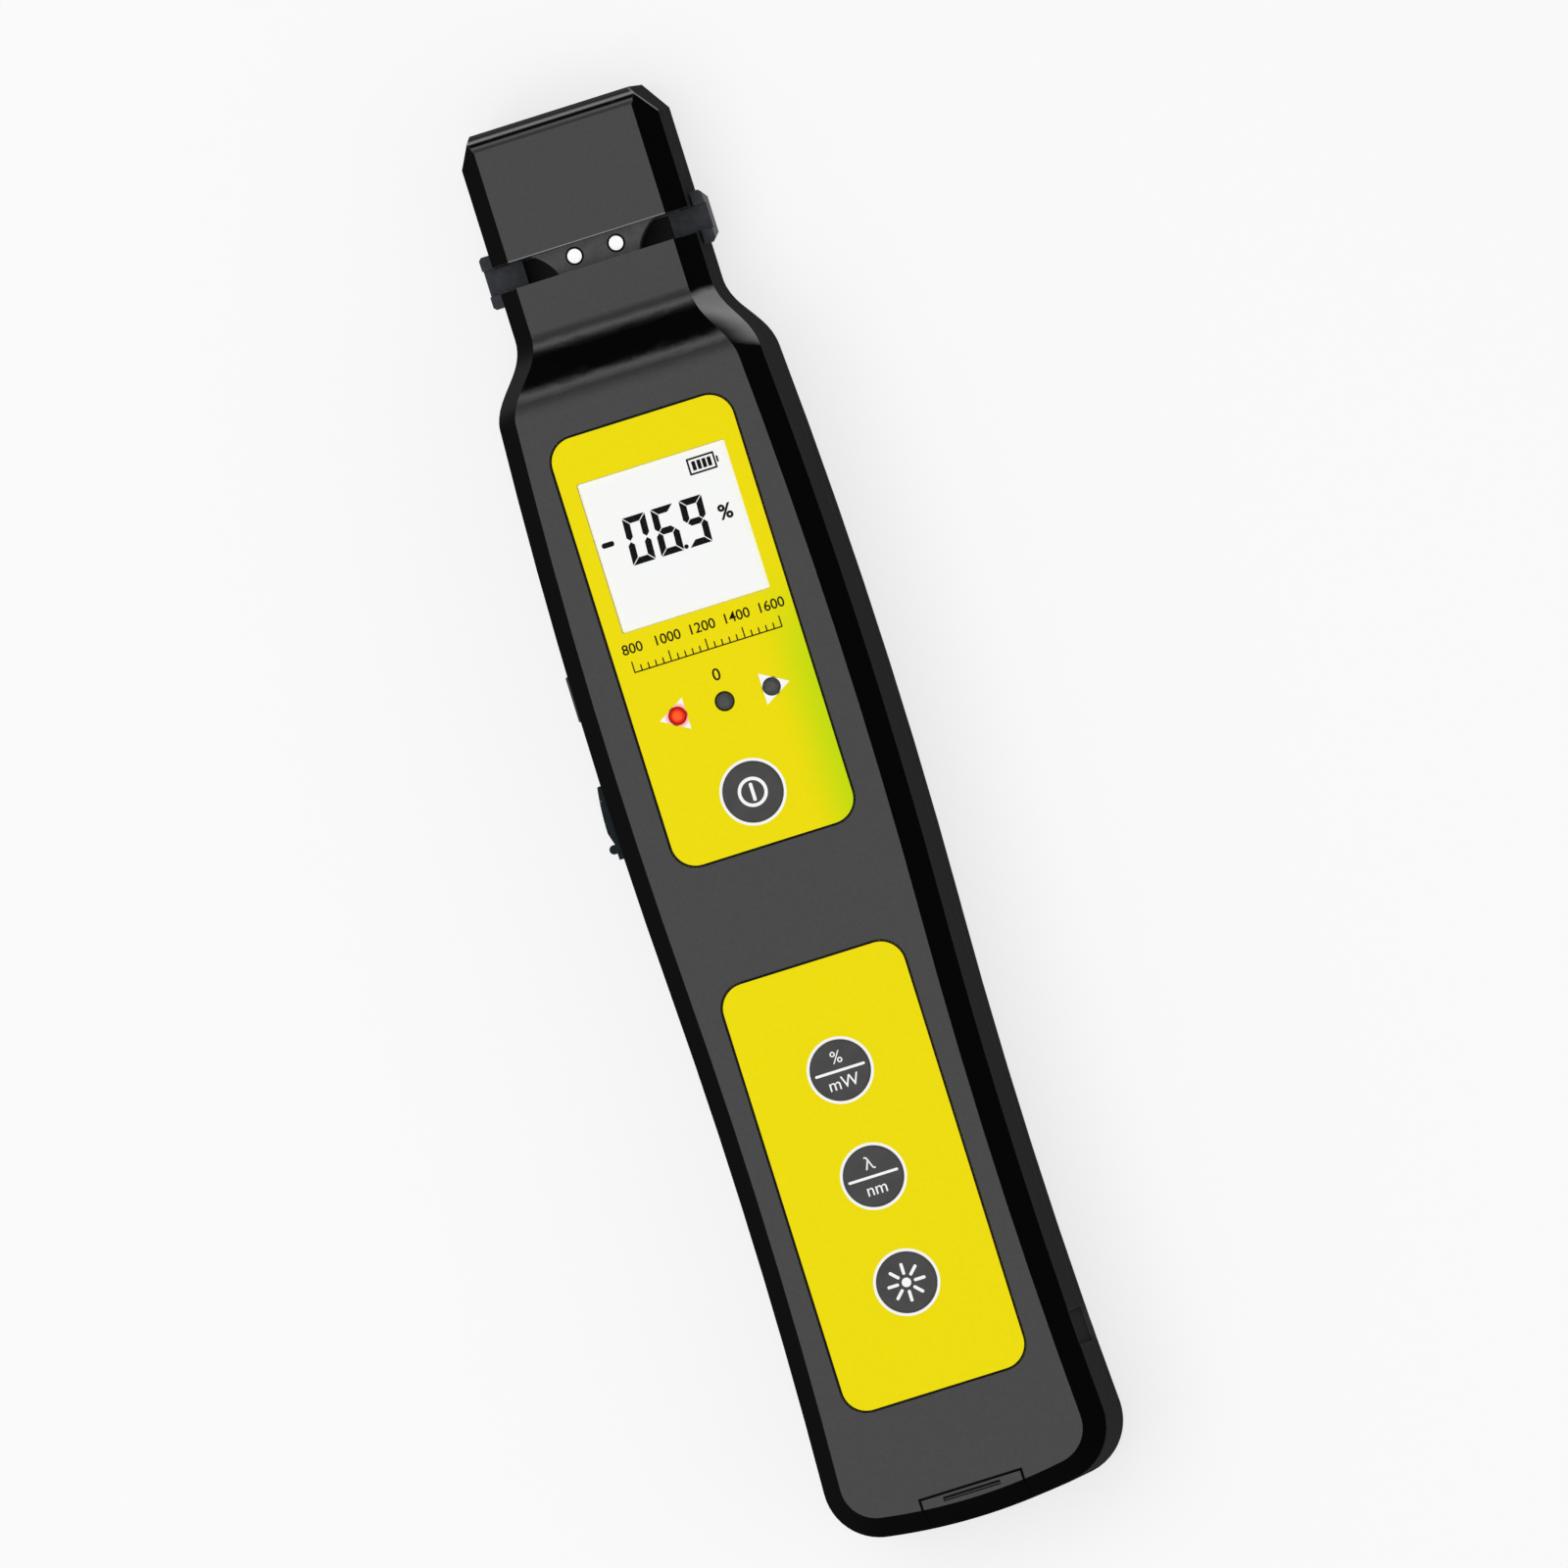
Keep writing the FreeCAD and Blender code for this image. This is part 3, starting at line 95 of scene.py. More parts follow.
# settings that many nodes share; a colour mix takes its share at socket 0, its colours at 6 and 7
inColour = {"data_type": "RGBA"}
mixed = 2  # the socket where a colour mix gives its result
smooth = {"interpolation_type": "SMOOTHSTEP"}
times = {"operation": "MULTIPLY"}
larger = {"operation": "MAXIMUM"}
above = {"operation": "GREATER_THAN"}
within = {"operation": "COMPARE"}
dotProduct = {"operation": "DOT_PRODUCT"}
distance = {"operation": "LENGTH"}
noiseSpan = {"From Min": 0.3, "From Max": 0.7}  # where nearly all values of a noise lie
patchSpan = {"From Min": 0.35, "From Max": 0.65}
grainDetail, cloudDetail, patchDetail = 3.0, 2.0, 4.0


def addGrain(tree, shader, size, depth, roughness=None, normal=None):
    # moulded or ground texture, drawn coarser than the real one so that it shows: one noise
    # that drives the bump and, where a range is given, the roughness
    place = addNode(tree, "ShaderNodeTexCoord")
    noise = addNode(tree, "ShaderNodeTexNoise", links={
        "Vector": place.outputs["Object"], "Scale": perMm(size), "Detail": grainDetail})
    bump = addNode(tree, "ShaderNodeBump", links={
        "Strength": 1.0, "Distance": depth * mm, "Height": noise.outputs["Fac"]})
    if normal:
        tree.links.new(normal, bump.inputs["Normal"])
    tree.links.new(bump.outputs["Normal"], shader.inputs["Normal"])
    if roughness:
        spread = addNode(tree, "ShaderNodeMapRange", links={
            "Value": noise.outputs["Fac"], **noiseSpan,
            "To Min": roughness[0], "To Max": roughness[1]})
        tree.links.new(spread.outputs["Result"], shader.inputs["Roughness"])
    return noise.outputs["Fac"]


def mouldedAbs():
    # black ABS from a spark-eroded tool, with light and shade painted into its colour: grey
    # flats, slopes painted near-black as shade, pale painted highlight bands
    look = {"grain": 0.45, "depth": 0.004, "cloud": 9.0, "dust": (0.95, 1.05),
            "frontRough": 0.6, "slopeRough": 0.27, "wallRough": 0.85,
            "flatFrom": 0.985, "flatFull": 0.999, "wallFrom": 0.5, "wallFull": 0.1,
            "crestFrom": 24.0, "crestTo": 26.0, "lipLean": 0.3, "upFrom": 0.15,
            "edgeHighlight": "#8C8C8C", "edge": 0.22, "edgeSamples": 4, "slotEdge": 0.16,
            "highlightFrom": 0.88, "highlightFull": 0.74, "highlightMost": 0.9, "coverMargin": 1.0,
            "cornerSide": (0.8348, 0.5506, 0), "cornerAt": 74.61, "cornerEdge": 0.2,
            "cornerHighlight": 0.7, "shoulderSheen": "#545454", "sheenSide": (0.56, 0.58, 0.59),
            "sheenFall": -12.0, "sheenLow": 19.0, "sheenFrom": 0.865, "sheenFull": 0.955}
    # painted shade and highlights by how far a face leans from the front, 1 being the front and 0
    # a wall: slopes and walls are painted dark as shade, and painted highlight bands make the
    # hollow at the foot of the shoulder go pale just off the flat and the crest above it pale
    # later
    paintedTones = {"hollow": [(0.0, "#272727"), (0.1, "#272727"), (0.5, "#040404"),
                        (0.779, "#050505"), (0.827, "#171717"), (0.871, "#363636"),
                        (0.905, "#505050"), (0.93, "#575757"), (0.958, "#464646"),
                        (0.974, "#373737"), (0.989, "#383838"), (1.0, "#4C4C4C")],
             "crest": [(0.0, "#272727"), (0.1, "#272727"), (0.5, "#040404"),
                       (0.7, "#050505"), (0.72, "#131313"), (0.748, "#363636"),
                       (0.778, "#515151"), (0.8, "#575757"), (0.85, "#474747"),
                       (0.885, "#383838"), (0.935, "#3E3E3E"), (1.0, "#4C4C4C")]}
    # painted shade and highlight along the stepped lip at the head's end, by Y in mm: soft step,
    # ledge, deep step, ridge with a painted highlight, round
    lip = [(112.6, "#4C4C4C"), (112.9, "#3A3A3A"), (113.2, "#444444"), (113.4, "#5A5A5A"),
           (113.62, "#464646"), (113.72, "#090909"), (114.08, "#090909"), (114.2, "#444444"),
           (114.36, "#868686"), (114.56, "#767676"), (114.8, "#262626"), (115.1, "#363636"),
           (115.5, "#3C3C3C")]
    # the etched skin kills the gloss at low angles, so the IOR is matched below the usual 1.53
    material, tree, shader = startMaterial("mouldedAbs", {
        "IOR": 1.25, "Specular IOR Level": 0.02, "Coat Roughness": 0.22, "Coat IOR": 1.75})
    place = addNode(tree, "ShaderNodeTexCoord")
    along = addNode(tree, "ShaderNodeSeparateXYZ", links={"Vector": place.outputs["Object"]})
    facing = addNode(tree, "ShaderNodeSeparateXYZ", links={"Vector": place.outputs["Normal"]})
    lipFrom, lipTo = lip[0][0], lip[-1][0]
    upLip = addNode(tree, "ShaderNodeMapRange", links={
        "Value": along.outputs["Y"], "From Min": lipFrom * mm, "From Max": lipTo * mm})
    paintedTones["lip"] = [((y - lipFrom) / (lipTo - lipFrom), colour) for y, colour in lip]
    leans = {}
    for name, stops in paintedTones.items():
        by = upLip.outputs["Result"] if name == "lip" else facing.outputs["Z"]
        ramp = addNode(tree, "ShaderNodeValToRGB", links={"Fac": by})
        made = ramp.color_ramp.elements
        made[0].color, made[1].color = toLinear(stops[0][1]), toLinear(stops[-1][1])
        for where, colour in stops[1:-1]:
            made.new(where).color = toLinear(colour)
        leans[name] = ramp.outputs["Color"]
    high = addNode(tree, "ShaderNodeMapRange", links={
        "Value": along.outputs["Z"],
        "From Min": look["crestFrom"] * mm, "From Max": look["crestTo"] * mm})
    lean = addNode(tree, "ShaderNodeMix", inColour, {
        0: high.outputs["Result"], 6: leans["hollow"], 7: leans["crest"]})
    level = addNode(tree, "ShaderNodeMath", within, {
        0: facing.outputs["X"], 1: 0.0, 2: look["lipLean"]})
    upward = addNode(tree, "ShaderNodeMath", above, {
        0: facing.outputs["Z"], 1: look["upFrom"]})
    onLip = addNode(tree, "ShaderNodeMath", above, {0: along.outputs["Y"], 1: lipFrom * mm})
    for share in (level, upward):
        onLip = addNode(tree, "ShaderNodeMath", times, {
            0: onLip.outputs["Value"], 1: share.outputs["Value"]})
    lean = addNode(tree, "ShaderNodeMix", inColour, {
        0: onLip.outputs["Value"], 6: lean.outputs[mixed], 7: leans["lip"]})
    flat = addNode(tree, "ShaderNodeMapRange", smooth, {
        "Value": facing.outputs["Z"],
        "From Min": look["flatFrom"], "From Max": look["flatFull"]})
    wall = addNode(tree, "ShaderNodeMapRange", smooth, {
        "Value": facing.outputs["Z"],
        "From Min": look["wallFrom"], "From Max": look["wallFull"]})
    soft = addNode(tree, "ShaderNodeBevel", {"samples": look["edgeSamples"]}, {
        "Radius": look["edge"] * mm})
    grain = addGrain(tree, shader, look["grain"], look["depth"], normal=soft.outputs["Normal"])
    cloud = addNode(tree, "ShaderNodeTexNoise", links={
        "Vector": place.outputs["Object"], "Scale": perMm(look["cloud"]),
        "Detail": cloudDetail})
    # sharp edges painted paler as edge highlights, broken up by broad noise clouds
    bare = addNode(tree, "ShaderNodeNewGeometry")
    turn = addNode(tree, "ShaderNodeVectorMath", dotProduct, {
        0: soft.outputs["Normal"], 1: bare.outputs["Normal"]})
    edgeLit = addNode(tree, "ShaderNodeMapRange", links={
        "Value": turn.outputs["Value"], "From Min": look["highlightFrom"],
        "From Max": look["highlightFull"], "To Max": look["highlightMost"]})
    patchyHighlight = addNode(tree, "ShaderNodeMath", times, {
        0: edgeLit.outputs["Result"], 1: cloud.outputs["Fac"]})
    # but not at the sunk port cover and its groove
    clearOf = addNode(tree, "ShaderNodeMath", above, {
        0: along.outputs["Y"], 1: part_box("port_cover")[1].y + look["coverMargin"] * mm})
    patchyHighlight = addNode(tree, "ShaderNodeMath", times, {
        0: patchyHighlight.outputs["Value"], 1: clearOf.outputs["Value"]})
    # and a painted highlight along the head's edge over the slot, strongest of all
    near = addNode(tree, "ShaderNodeMath", within, {
        0: along.outputs["Y"], 1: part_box("head_cap")[0].y, 2: look["slotEdge"] * mm})
    near = addNode(tree, "ShaderNodeMath", times, {
        0: near.outputs["Value"], 1: flat.outputs["Result"]})
    # a painted highlight line along the head's right cut corner where it meets the bevel
    corner = addNode(tree, "ShaderNodeVectorMath", dotProduct, {
        0: place.outputs["Object"], 1: look["cornerSide"]})
    corner = addNode(tree, "ShaderNodeMath", within, {
        0: corner.outputs["Value"], 1: look["cornerAt"] * mm, 2: look["cornerEdge"] * mm})
    for share in (upward.outputs["Value"], look["cornerHighlight"]):
        corner = addNode(tree, "ShaderNodeMath", times, {0: corner.outputs["Value"], 1: share})
    edgeHighlight = patchyHighlight
    for spot in (near, corner):
        edgeHighlight = addNode(tree, "ShaderNodeMath", larger, {
            0: edgeHighlight.outputs["Value"], 1: spot.outputs["Value"]})
    # the right shoulder's slope gets a glossy coat and a pale colour, a painted reflection,
    # fading toward the front
    shoulderSheen = addNode(tree, "ShaderNodeVectorMath", dotProduct, {
        0: place.outputs["Normal"], 1: look["sheenSide"]})
    rise = addNode(tree, "ShaderNodeMath", {"operation": "SUBTRACT", "use_clamp": True}, {
        0: along.outputs["Z"], 1: look["sheenLow"] * mm})
    fall = addNode(tree, "ShaderNodeMath", {"operation": "MULTIPLY_ADD"}, {
        0: rise.outputs["Value"], 1: look["sheenFall"], 2: shoulderSheen.outputs["Value"]})
    sheenShare = addNode(tree, "ShaderNodeMapRange", smooth, {
        "Value": fall.outputs["Value"],
        "From Min": look["sheenFrom"], "From Max": look["sheenFull"]})
    tree.links.new(sheenShare.outputs["Result"], shader.inputs["Coat Weight"])
    sheenTinted = addNode(tree, "ShaderNodeMix", inColour, {
        0: sheenShare.outputs["Result"], 6: lean.outputs[mixed], 7: toLinear(look["shoulderSheen"])})
    highlighted = addNode(tree, "ShaderNodeMix", inColour, {
        0: edgeHighlight.outputs["Value"], 6: sheenTinted.outputs[mixed], 7: toLinear(look["edgeHighlight"])})
    dusty = addNode(tree, "ShaderNodeMapRange", links={
        "Value": grain, **noiseSpan, "To Min": look["dust"][0], "To Max": look["dust"][1]})
    shade = addNode(tree, "ShaderNodeHueSaturation", links={
        "Value": dusty.outputs["Result"], "Color": highlighted.outputs[mixed]})
    tree.links.new(shade.outputs["Color"], shader.inputs["Base Color"])
    # the tool is polished on the slopes and left rough on the flats and walls
    rough = addNode(tree, "ShaderNodeMapRange", links={
        "Value": wall.outputs["Result"],
        "To Min": look["slopeRough"], "To Max": look["wallRough"]})
    rough = addNode(tree, "ShaderNodeMix", links={
        0: flat.outputs["Result"], 2: rough.outputs["Result"], 3: look["frontRough"]})
    uneven = addNode(tree, "ShaderNodeMath", times, {
        0: rough.outputs[0], 1: dusty.outputs["Result"]})
    tree.links.new(uneven.outputs["Value"], shader.inputs["Roughness"])
    return material


def printedFilm():
    # polyester overlay printed on its back: even yellow, faint orange peel, a green cast by the
    # right edge of the upper panel
    look = {"yellow": "#F2E100", "green": "#C2E000", "peel": 0.7, "depth": 0.003,
            "rough": (0.36, 0.46), "uneven": (0.985, 1.01), "castFrom": 7.0, "castTo": 16.5,
            "castTop": 42.0, "castFull": 18.0, "castLow": -16.5}
    material, tree, shader = startMaterial("printedFilm", {
        "IOR": 1.6, "Specular IOR Level": 0.03})
    peel = addGrain(tree, shader, look["peel"], look["depth"], look["rough"])
    place = addNode(tree, "ShaderNodeTexCoord")
    parts = addNode(tree, "ShaderNodeSeparateXYZ", links={"Vector": place.outputs["Object"]})
    across = addNode(tree, "ShaderNodeMapRange", smooth, {
        "Value": parts.outputs["X"],
        "From Min": look["castFrom"] * mm, "From Max": look["castTo"] * mm})
    along = addNode(tree, "ShaderNodeMapRange", smooth, {
        "Value": parts.outputs["Y"],
        "From Min": look["castTop"] * mm, "From Max": look["castFull"] * mm})
    upper = addNode(tree, "ShaderNodeMath", above, {
        0: parts.outputs["Y"], 1: look["castLow"] * mm})
    share = addNode(tree, "ShaderNodeMath", times, {
        0: across.outputs["Result"], 1: along.outputs["Result"]})
    share = addNode(tree, "ShaderNodeMath", times, {
        0: share.outputs["Value"], 1: upper.outputs["Value"]})
    printed = addNode(tree, "ShaderNodeMix", inColour, {
        0: share.outputs["Value"], 6: toLinear(look["yellow"]), 7: toLinear(look["green"])})
    even = addNode(tree, "ShaderNodeMapRange", links={
        "Value": peel, **noiseSpan, "To Min": look["uneven"][0], "To Max": look["uneven"][1]})
    shade = addNode(tree, "ShaderNodeHueSaturation", links={
        "Value": even.outputs["Result"], "Color": printed.outputs[mixed]})
    tree.links.new(shade.outputs["Color"], shader.inputs["Base Color"])
    return material


def mottled(name, pale, dark, patch, grain, depth, roughness, sockets):
    # common build of the plain moulded and metal finishes: two close tones in patches over a
    # fine grain
    material, tree, shader = startMaterial(name, sockets)
    addGrain(tree, shader, grain, depth, roughness)
    place = addNode(tree, "ShaderNodeTexCoord")
    patches = addNode(tree, "ShaderNodeTexNoise", links={
        "Vector": place.outputs["Object"], "Scale": perMm(patch), "Detail": patchDetail})
    spread = addNode(tree, "ShaderNodeMapRange", links={
        "Value": patches.outputs["Fac"], **patchSpan})
    tone = addNode(tree, "ShaderNodeMix", inColour, {
        0: spread.outputs["Result"], 6: toLinear(dark), 7: toLinear(pale)})
    tree.links.new(tone.outputs[mixed], shader.inputs["Base Color"])
    return material


def siliconeKey():
    # moulded silicone with a soft matte top, the same grey as the front
    return mottled("siliconeKey", "#4B4B4B", "#464646", patch=2.5, grain=0.3, depth=0.003,
                   roughness=(0.55, 0.65), sockets={"IOR": 1.42, "Specular IOR Level": 0.08})


def glassFilledNylon():
    # dark grey nylon with glass fibre: faint pale patches in the skin, dull
    return mottled("glassFilledNylon", "#646464", "#5A5A5A", patch=1.2, grain=0.25, depth=0.005,
                   roughness=(0.5, 0.65), sockets={"IOR": 1.53, "Specular IOR Level": 0.08})


def blueGreyNylon():
    # the guide's nylon, a colder grey and a little smoother
    return mottled("blueGreyNylon", "#2D3035", "#202226", patch=1.5, grain=0.3, depth=0.005,
                   roughness=(0.42, 0.55), sockets={"IOR": 1.53, "Specular IOR Level": 0.12})


def acetal():
    # white acetal turned pins, waxy, with a weak emission that makes them glow whiter: painted
    # light
    return mottled("acetal", "#FFFFFF", "#F4F4F2", patch=1.0, grain=0.2, depth=0.002,
                   roughness=(0.3, 0.4), sockets={
                       "IOR": 1.48, "Specular IOR Level": 0.3,
                       "Emission Color": toLinear("#FFFFFF"), "Emission Strength": 0.4})


def gripElastomer():
    # teal-black elastomer over the slider, with pale flecks in its grain: painted glints
    look = {"body": "#0B1D20", "deep": "#040A0B", "glint": "#7C8A8A", "glintSize": 0.9,
            "glintFrom": 0.2, "glintFull": 0.08, "grain": 0.35, "depth": 0.02,
            "rough": (0.45, 0.7)}
    material, tree, shader = startMaterial("gripElastomer", {
        "IOR": 1.5, "Specular IOR Level": 0.1})
    grain = addGrain(tree, shader, look["grain"], look["depth"], look["rough"])
    place = addNode(tree, "ShaderNodeTexCoord")
    body = addNode(tree, "ShaderNodeMix", inColour, {
        0: grain, 6: toLinear(look["deep"]), 7: toLinear(look["body"])})
    cells = addNode(tree, "ShaderNodeTexVoronoi", links={
        "Vector": place.outputs["Object"], "Scale": perMm(look["glintSize"])})
    glint = addNode(tree, "ShaderNodeMapRange", links={
        "Value": cells.outputs["Distance"],
        "From Min": look["glintFrom"], "From Max": look["glintFull"]})
    tone = addNode(tree, "ShaderNodeMix", inColour, {
        0: glint.outputs["Result"], 6: body.outputs[mixed], 7: toLinear(look["glint"])})
    tree.links.new(tone.outputs[mixed], shader.inputs["Base Color"])
    return material


def evenSheet(name, pale, dark, grain, depth, roughness, sockets):
    # common build of the display's sheets: two close tones that follow the grain itself
    material, tree, shader = startMaterial(name, sockets)
    lay = addGrain(tree, shader, grain, depth, roughness)
    tone = addNode(tree, "ShaderNodeMix", inColour, {
        0: lay, 6: toLinear(dark), 7: toLinear(pale)})
    tree.links.new(tone.outputs[mixed], shader.inputs["Base Color"])
    return material


def whitePolariser():
    # reflective display with a lit white ground, faintly uneven
    return evenSheet("whitePolariser", "#F8F9F8", "#F2F4F2", grain=0.5, depth=0.002,
                     roughness=(0.4, 0.5), sockets={
                         "IOR": 1.5, "Specular IOR Level": 0.1,
                         "Emission Color": toLinear("#FFFFFF"), "Emission Strength": 0.12})


def acrylicWindow():
    # clear acrylic over the display: nearly all passes, so its own tint is dark and thin
    return evenSheet("acrylicWindow", "#2C3236", "#20262A", grain=1.5, depth=0.001,
                     roughness=(0.08, 0.14), sockets={
                         "IOR": 1.49, "Alpha": 0.03, "Specular IOR Level": 0.2})


def diffusedLamp():
    # smoked epoxy lamp that is off
    return mottled("diffusedLamp", "#4A4A4A", "#424242", patch=0.8, grain=0.3, depth=0.003,
                   roughness=(0.3, 0.4), sockets={"IOR": 1.55, "Specular IOR Level": 0.1})


def nearLitLamp(tree, start, full):
    # share by the distance in mm from the top of the lamp that is on
    place = addNode(tree, "ShaderNodeTexCoord")
    centred = addNode(tree, "ShaderNodeMapping", links={
        "Vector": place.outputs["Object"], "Location": -topCentre("lamp_left")})
    away = addNode(tree, "ShaderNodeVectorMath", distance, {0: centred.outputs["Vector"]})
    share = addNode(tree, "ShaderNodeMapRange", smooth, {
        "Value": away.outputs["Value"], "From Min": start * mm, "From Max": full * mm})
    return share.outputs["Result"]


def litLamp():
    # red epoxy lamp that is on: an orange heart and a deeper rim
    look = {"heart": "#F84E00", "rim": "#B80202", "heartAt": 0.25, "rimAt": 1.4,
            "grain": 0.5, "depth": 0.003, "rough": (0.15, 0.25)}
    material, tree, shader = startMaterial("litLamp", {
        "IOR": 1.55, "Emission Strength": 0.3, "Specular IOR Level": 0.1})
    addGrain(tree, shader, look["grain"], look["depth"], look["rough"])
    tone = addNode(tree, "ShaderNodeMix", inColour, {
        0: nearLitLamp(tree, look["heartAt"], look["rimAt"]),
        6: toLinear(look["heart"]), 7: toLinear(look["rim"])})
    for socket in ("Base Color", "Emission Color"):
        tree.links.new(tone.outputs[mixed], shader.inputs[socket])
    return material


def whiteInk():
    # screen-printed white, slightly uneven where the mesh left it, with a painted red glow beside
    # the lamp that is on
    look = {"white": "#FFFFFF", "thin": "#F6F6F4", "lampGlow": "#FF9C94", "reach": 2.35,
            "lampRim": 1.4, "grain": 0.25, "depth": 0.003, "rough": (0.45, 0.6)}
    material, tree, shader = startMaterial("whiteInk", {"IOR": 1.5, "Specular IOR Level": 0.2})
    lay = addGrain(tree, shader, look["grain"], look["depth"], look["rough"])
    lain = addNode(tree, "ShaderNodeMix", inColour, {
        0: lay, 6: toLinear(look["thin"]), 7: toLinear(look["white"])})
    tone = addNode(tree, "ShaderNodeMix", inColour, {
        0: nearLitLamp(tree, look["reach"], look["lampRim"]),
        6: lain.outputs[mixed], 7: toLinear(look["lampGlow"])})
    tree.links.new(tone.outputs[mixed], shader.inputs["Base Color"])
    return material


def blackInk():
    # dark print and display segments, flat and dense
    return mottled("blackInk", "#0B0A09", "#060505", patch=0.6, grain=0.2, depth=0.002,
                   roughness=(0.5, 0.65), sockets={"IOR": 1.5, "Specular IOR Level": 0.04})


def solderMask():
    # green solder mask over glass cloth: a glossy skin with faint unevenness
    return mottled("solderMask", "#1F6B3A", "#155029", patch=3.0, grain=0.5, depth=0.01,
                   roughness=(0.25, 0.35), sockets={"IOR": 1.55})


def zincPlatedSteel():
    # bright zinc plating, finely pitted
    return mottled("zincPlatedSteel", "#B9BABC", "#9C9DA0", patch=1.5, grain=0.2, depth=0.004,
                   roughness=(0.28, 0.42), sockets={"Metallic": 1.0})


def turnedBrass():
    # brass straight from the lathe
    return mottled("turnedBrass", "#D2B066", "#B8944C", patch=2.0, grain=0.25, depth=0.004,
                   roughness=(0.22, 0.36), sockets={"Metallic": 1.0})


def cellSleeve():
    # printed shrink sleeve of a dry cell
    return mottled("cellSleeve", "#B4B6BA", "#A2A4A8", patch=4.0, grain=0.6, depth=0.004,
                   roughness=(0.3, 0.4), sockets={"Metallic": 0.6})


finishes = {
    "casing_black": mouldedAbs(), "overlay_yellow": printedFilm(), "key_grey": siliconeKey(),
    "lamp_grey": diffusedLamp(), "lamp_red": litLamp(), "display_white": whitePolariser(),
    "lens_clear": acrylicWindow(), "anvil_grey": glassFilledNylon(), "pin_white": acetal(),
    "guide_grey": blueGreyNylon(), "slider_black": gripElastomer(), "board_green": solderMask(),
    "steel": zincPlatedSteel(), "brass": turnedBrass(), "cell_silver": cellSleeve(),
}
inks = {"white": whiteInk(), "black": blackInk()}
for part in frame["record"]["subparts"]:
    mesh = nodes[part["node"]].data
    mesh.materials.clear()
    mesh.materials.append(finishes[part["material_slot"]])
print("finishes on the CAD nodes:", len(finishes))


def finishPiece(bm, name, material, body):
    bmesh.ops.recalc_face_normals(bm, faces=bm.faces)
    mesh = bpy.data.meshes.new(name)
    bm.to_mesh(mesh)
    bm.free()
    mesh.materials.append(material)
    piece = bpy.data.objects.new(name, mesh)
    bpy.context.scene.collection.objects.link(piece)
    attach(piece, body)
    return piece


# sunk and proud: how far a print reaches into and out of what carries it, in mm
ink = {"sunk": 0.01, "proud": 0.025, "ringSteps": 72, "endRound": 0.45, "endSteps": 4,
       "capitals": 0.7, "joinWithin": 1e-8}


def thicken(bm, faces):
    # flat faces become a print with a little height
    made = bmesh.ops.extrude_face_region(bm, geom=faces)
    verts = [item for item in made["geom"] if isinstance(item, bmesh.types.BMVert)]
    bmesh.ops.translate(bm, verts=verts, vec=(0, 0, (ink["sunk"] + ink["proud"]) * mm))


def addRing(bm, centre, inner, outer, steps=ink["ringSteps"], sunk=ink["sunk"]):
    heights = (centre.z - sunk * mm, centre.z + ink["proud"] * mm)
    corners = [(inner, heights[0]), (outer, heights[0]), (outer, heights[1]), (inner, heights[1])]
    verts = [bm.verts.new((centre.x + r * mm, centre.y, z)) for r, z in corners]
    edges = [bm.edges.new((verts[i - 1], verts[i])) for i in range(len(verts))]
    bmesh.ops.spin(bm, geom=verts + edges, cent=centre, axis=(0, 0, 1), angle=math.tau,
                   steps=steps, use_merge=True)


def addOutline(bm, centre, points):
    # flat shape from a few corners in mm about a centre
    base = centre.z - ink["sunk"] * mm
    verts = [bm.verts.new((centre.x + x * mm, centre.y + y * mm, base)) for x, y in points]
    thicken(bm, [bm.faces.new(verts)])


def addStroke(bm, centre, start, end, width):
    # straight stroke with rounded ends
    along = Vector((end[0] - start[0], end[1] - start[1]))
    turn = Matrix.Rotation(math.atan2(along.y, along.x), 4, "Z")
    middle = centre + Vector((start[0] + end[0], start[1] + end[1], 0)) * mm / 2
    height = (ink["sunk"] + ink["proud"]) * mm
    middle.z = centre.z + height / 2 - ink["sunk"] * mm
    size = Matrix.Diagonal((along.length * mm + width * mm, width * mm, height, 1))
    made = bmesh.ops.create_cube(bm, size=1, matrix=Matrix.Translation(middle) @ turn @ size)
    edges = {edge for vert in made["verts"] for edge in vert.link_edges}
    upright = [edge for edge in edges
               if abs(edge.verts[0].co.z - edge.verts[1].co.z) > height / 2]
    bmesh.ops.bevel(bm, geom=upright, offset=width * mm * ink["endRound"], affect="EDGES",
                    segments=ink["endSteps"], profile=0.5, material=-1)


def addWords(bm, words, height, centre, bold=0.0):
    # plain signs as a mesh, centred on the place
    curve = bpy.data.curves.new("words", "FONT")
    curve.body = words
    curve.size = height * mm / ink["capitals"]  # share of the type size that a capital takes
    curve.offset = bold * mm
    curve.align_x = curve.align_y = "CENTER"
    curve.extrude = (ink["sunk"] + ink["proud"]) * mm / 2
    holder = bpy.data.objects.new("words", curve)
    flat = bpy.data.meshes.new_from_object(holder)
    lift = Vector((0, 0, (ink["proud"] - ink["sunk"]) * mm / 2))
    flat.transform(Matrix.Translation(centre + lift))
    earlier = set(bm.verts)
    bm.from_mesh(flat)
    fresh = [vert for vert in bm.verts if vert not in earlier]
    # type comes with loose caps and sides
    bmesh.ops.remove_doubles(bm, verts=fresh, dist=ink["joinWithin"])
    bpy.data.objects.remove(holder)
    bpy.data.curves.remove(curve)
    bpy.data.meshes.remove(flat)


keyRings = {"cap": 9.7, "gap": 0.03, "width": 0.44}  # the cap above its wider flange


def makeKeyRings():
    # white rings printed round the key holes
    bm = bmesh.new()
    for key in ("power_key", "unit_key", "wave_key", "laser_key"):
        centre = topCentre(key)
        overlay = "upper_overlay" if key == "power_key" else "lower_overlay"
        centre.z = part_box(overlay)[1].z
        inner = keyRings["cap"] / 2 + keyRings["gap"]
        addRing(bm, centre, inner, inner + keyRings["width"])
    finishPiece(bm, "keyRings", inks["white"], "housing")


makeKeyRings()

panelBorders = {"round": 4.2, "width": 0.26, "steps": 10}


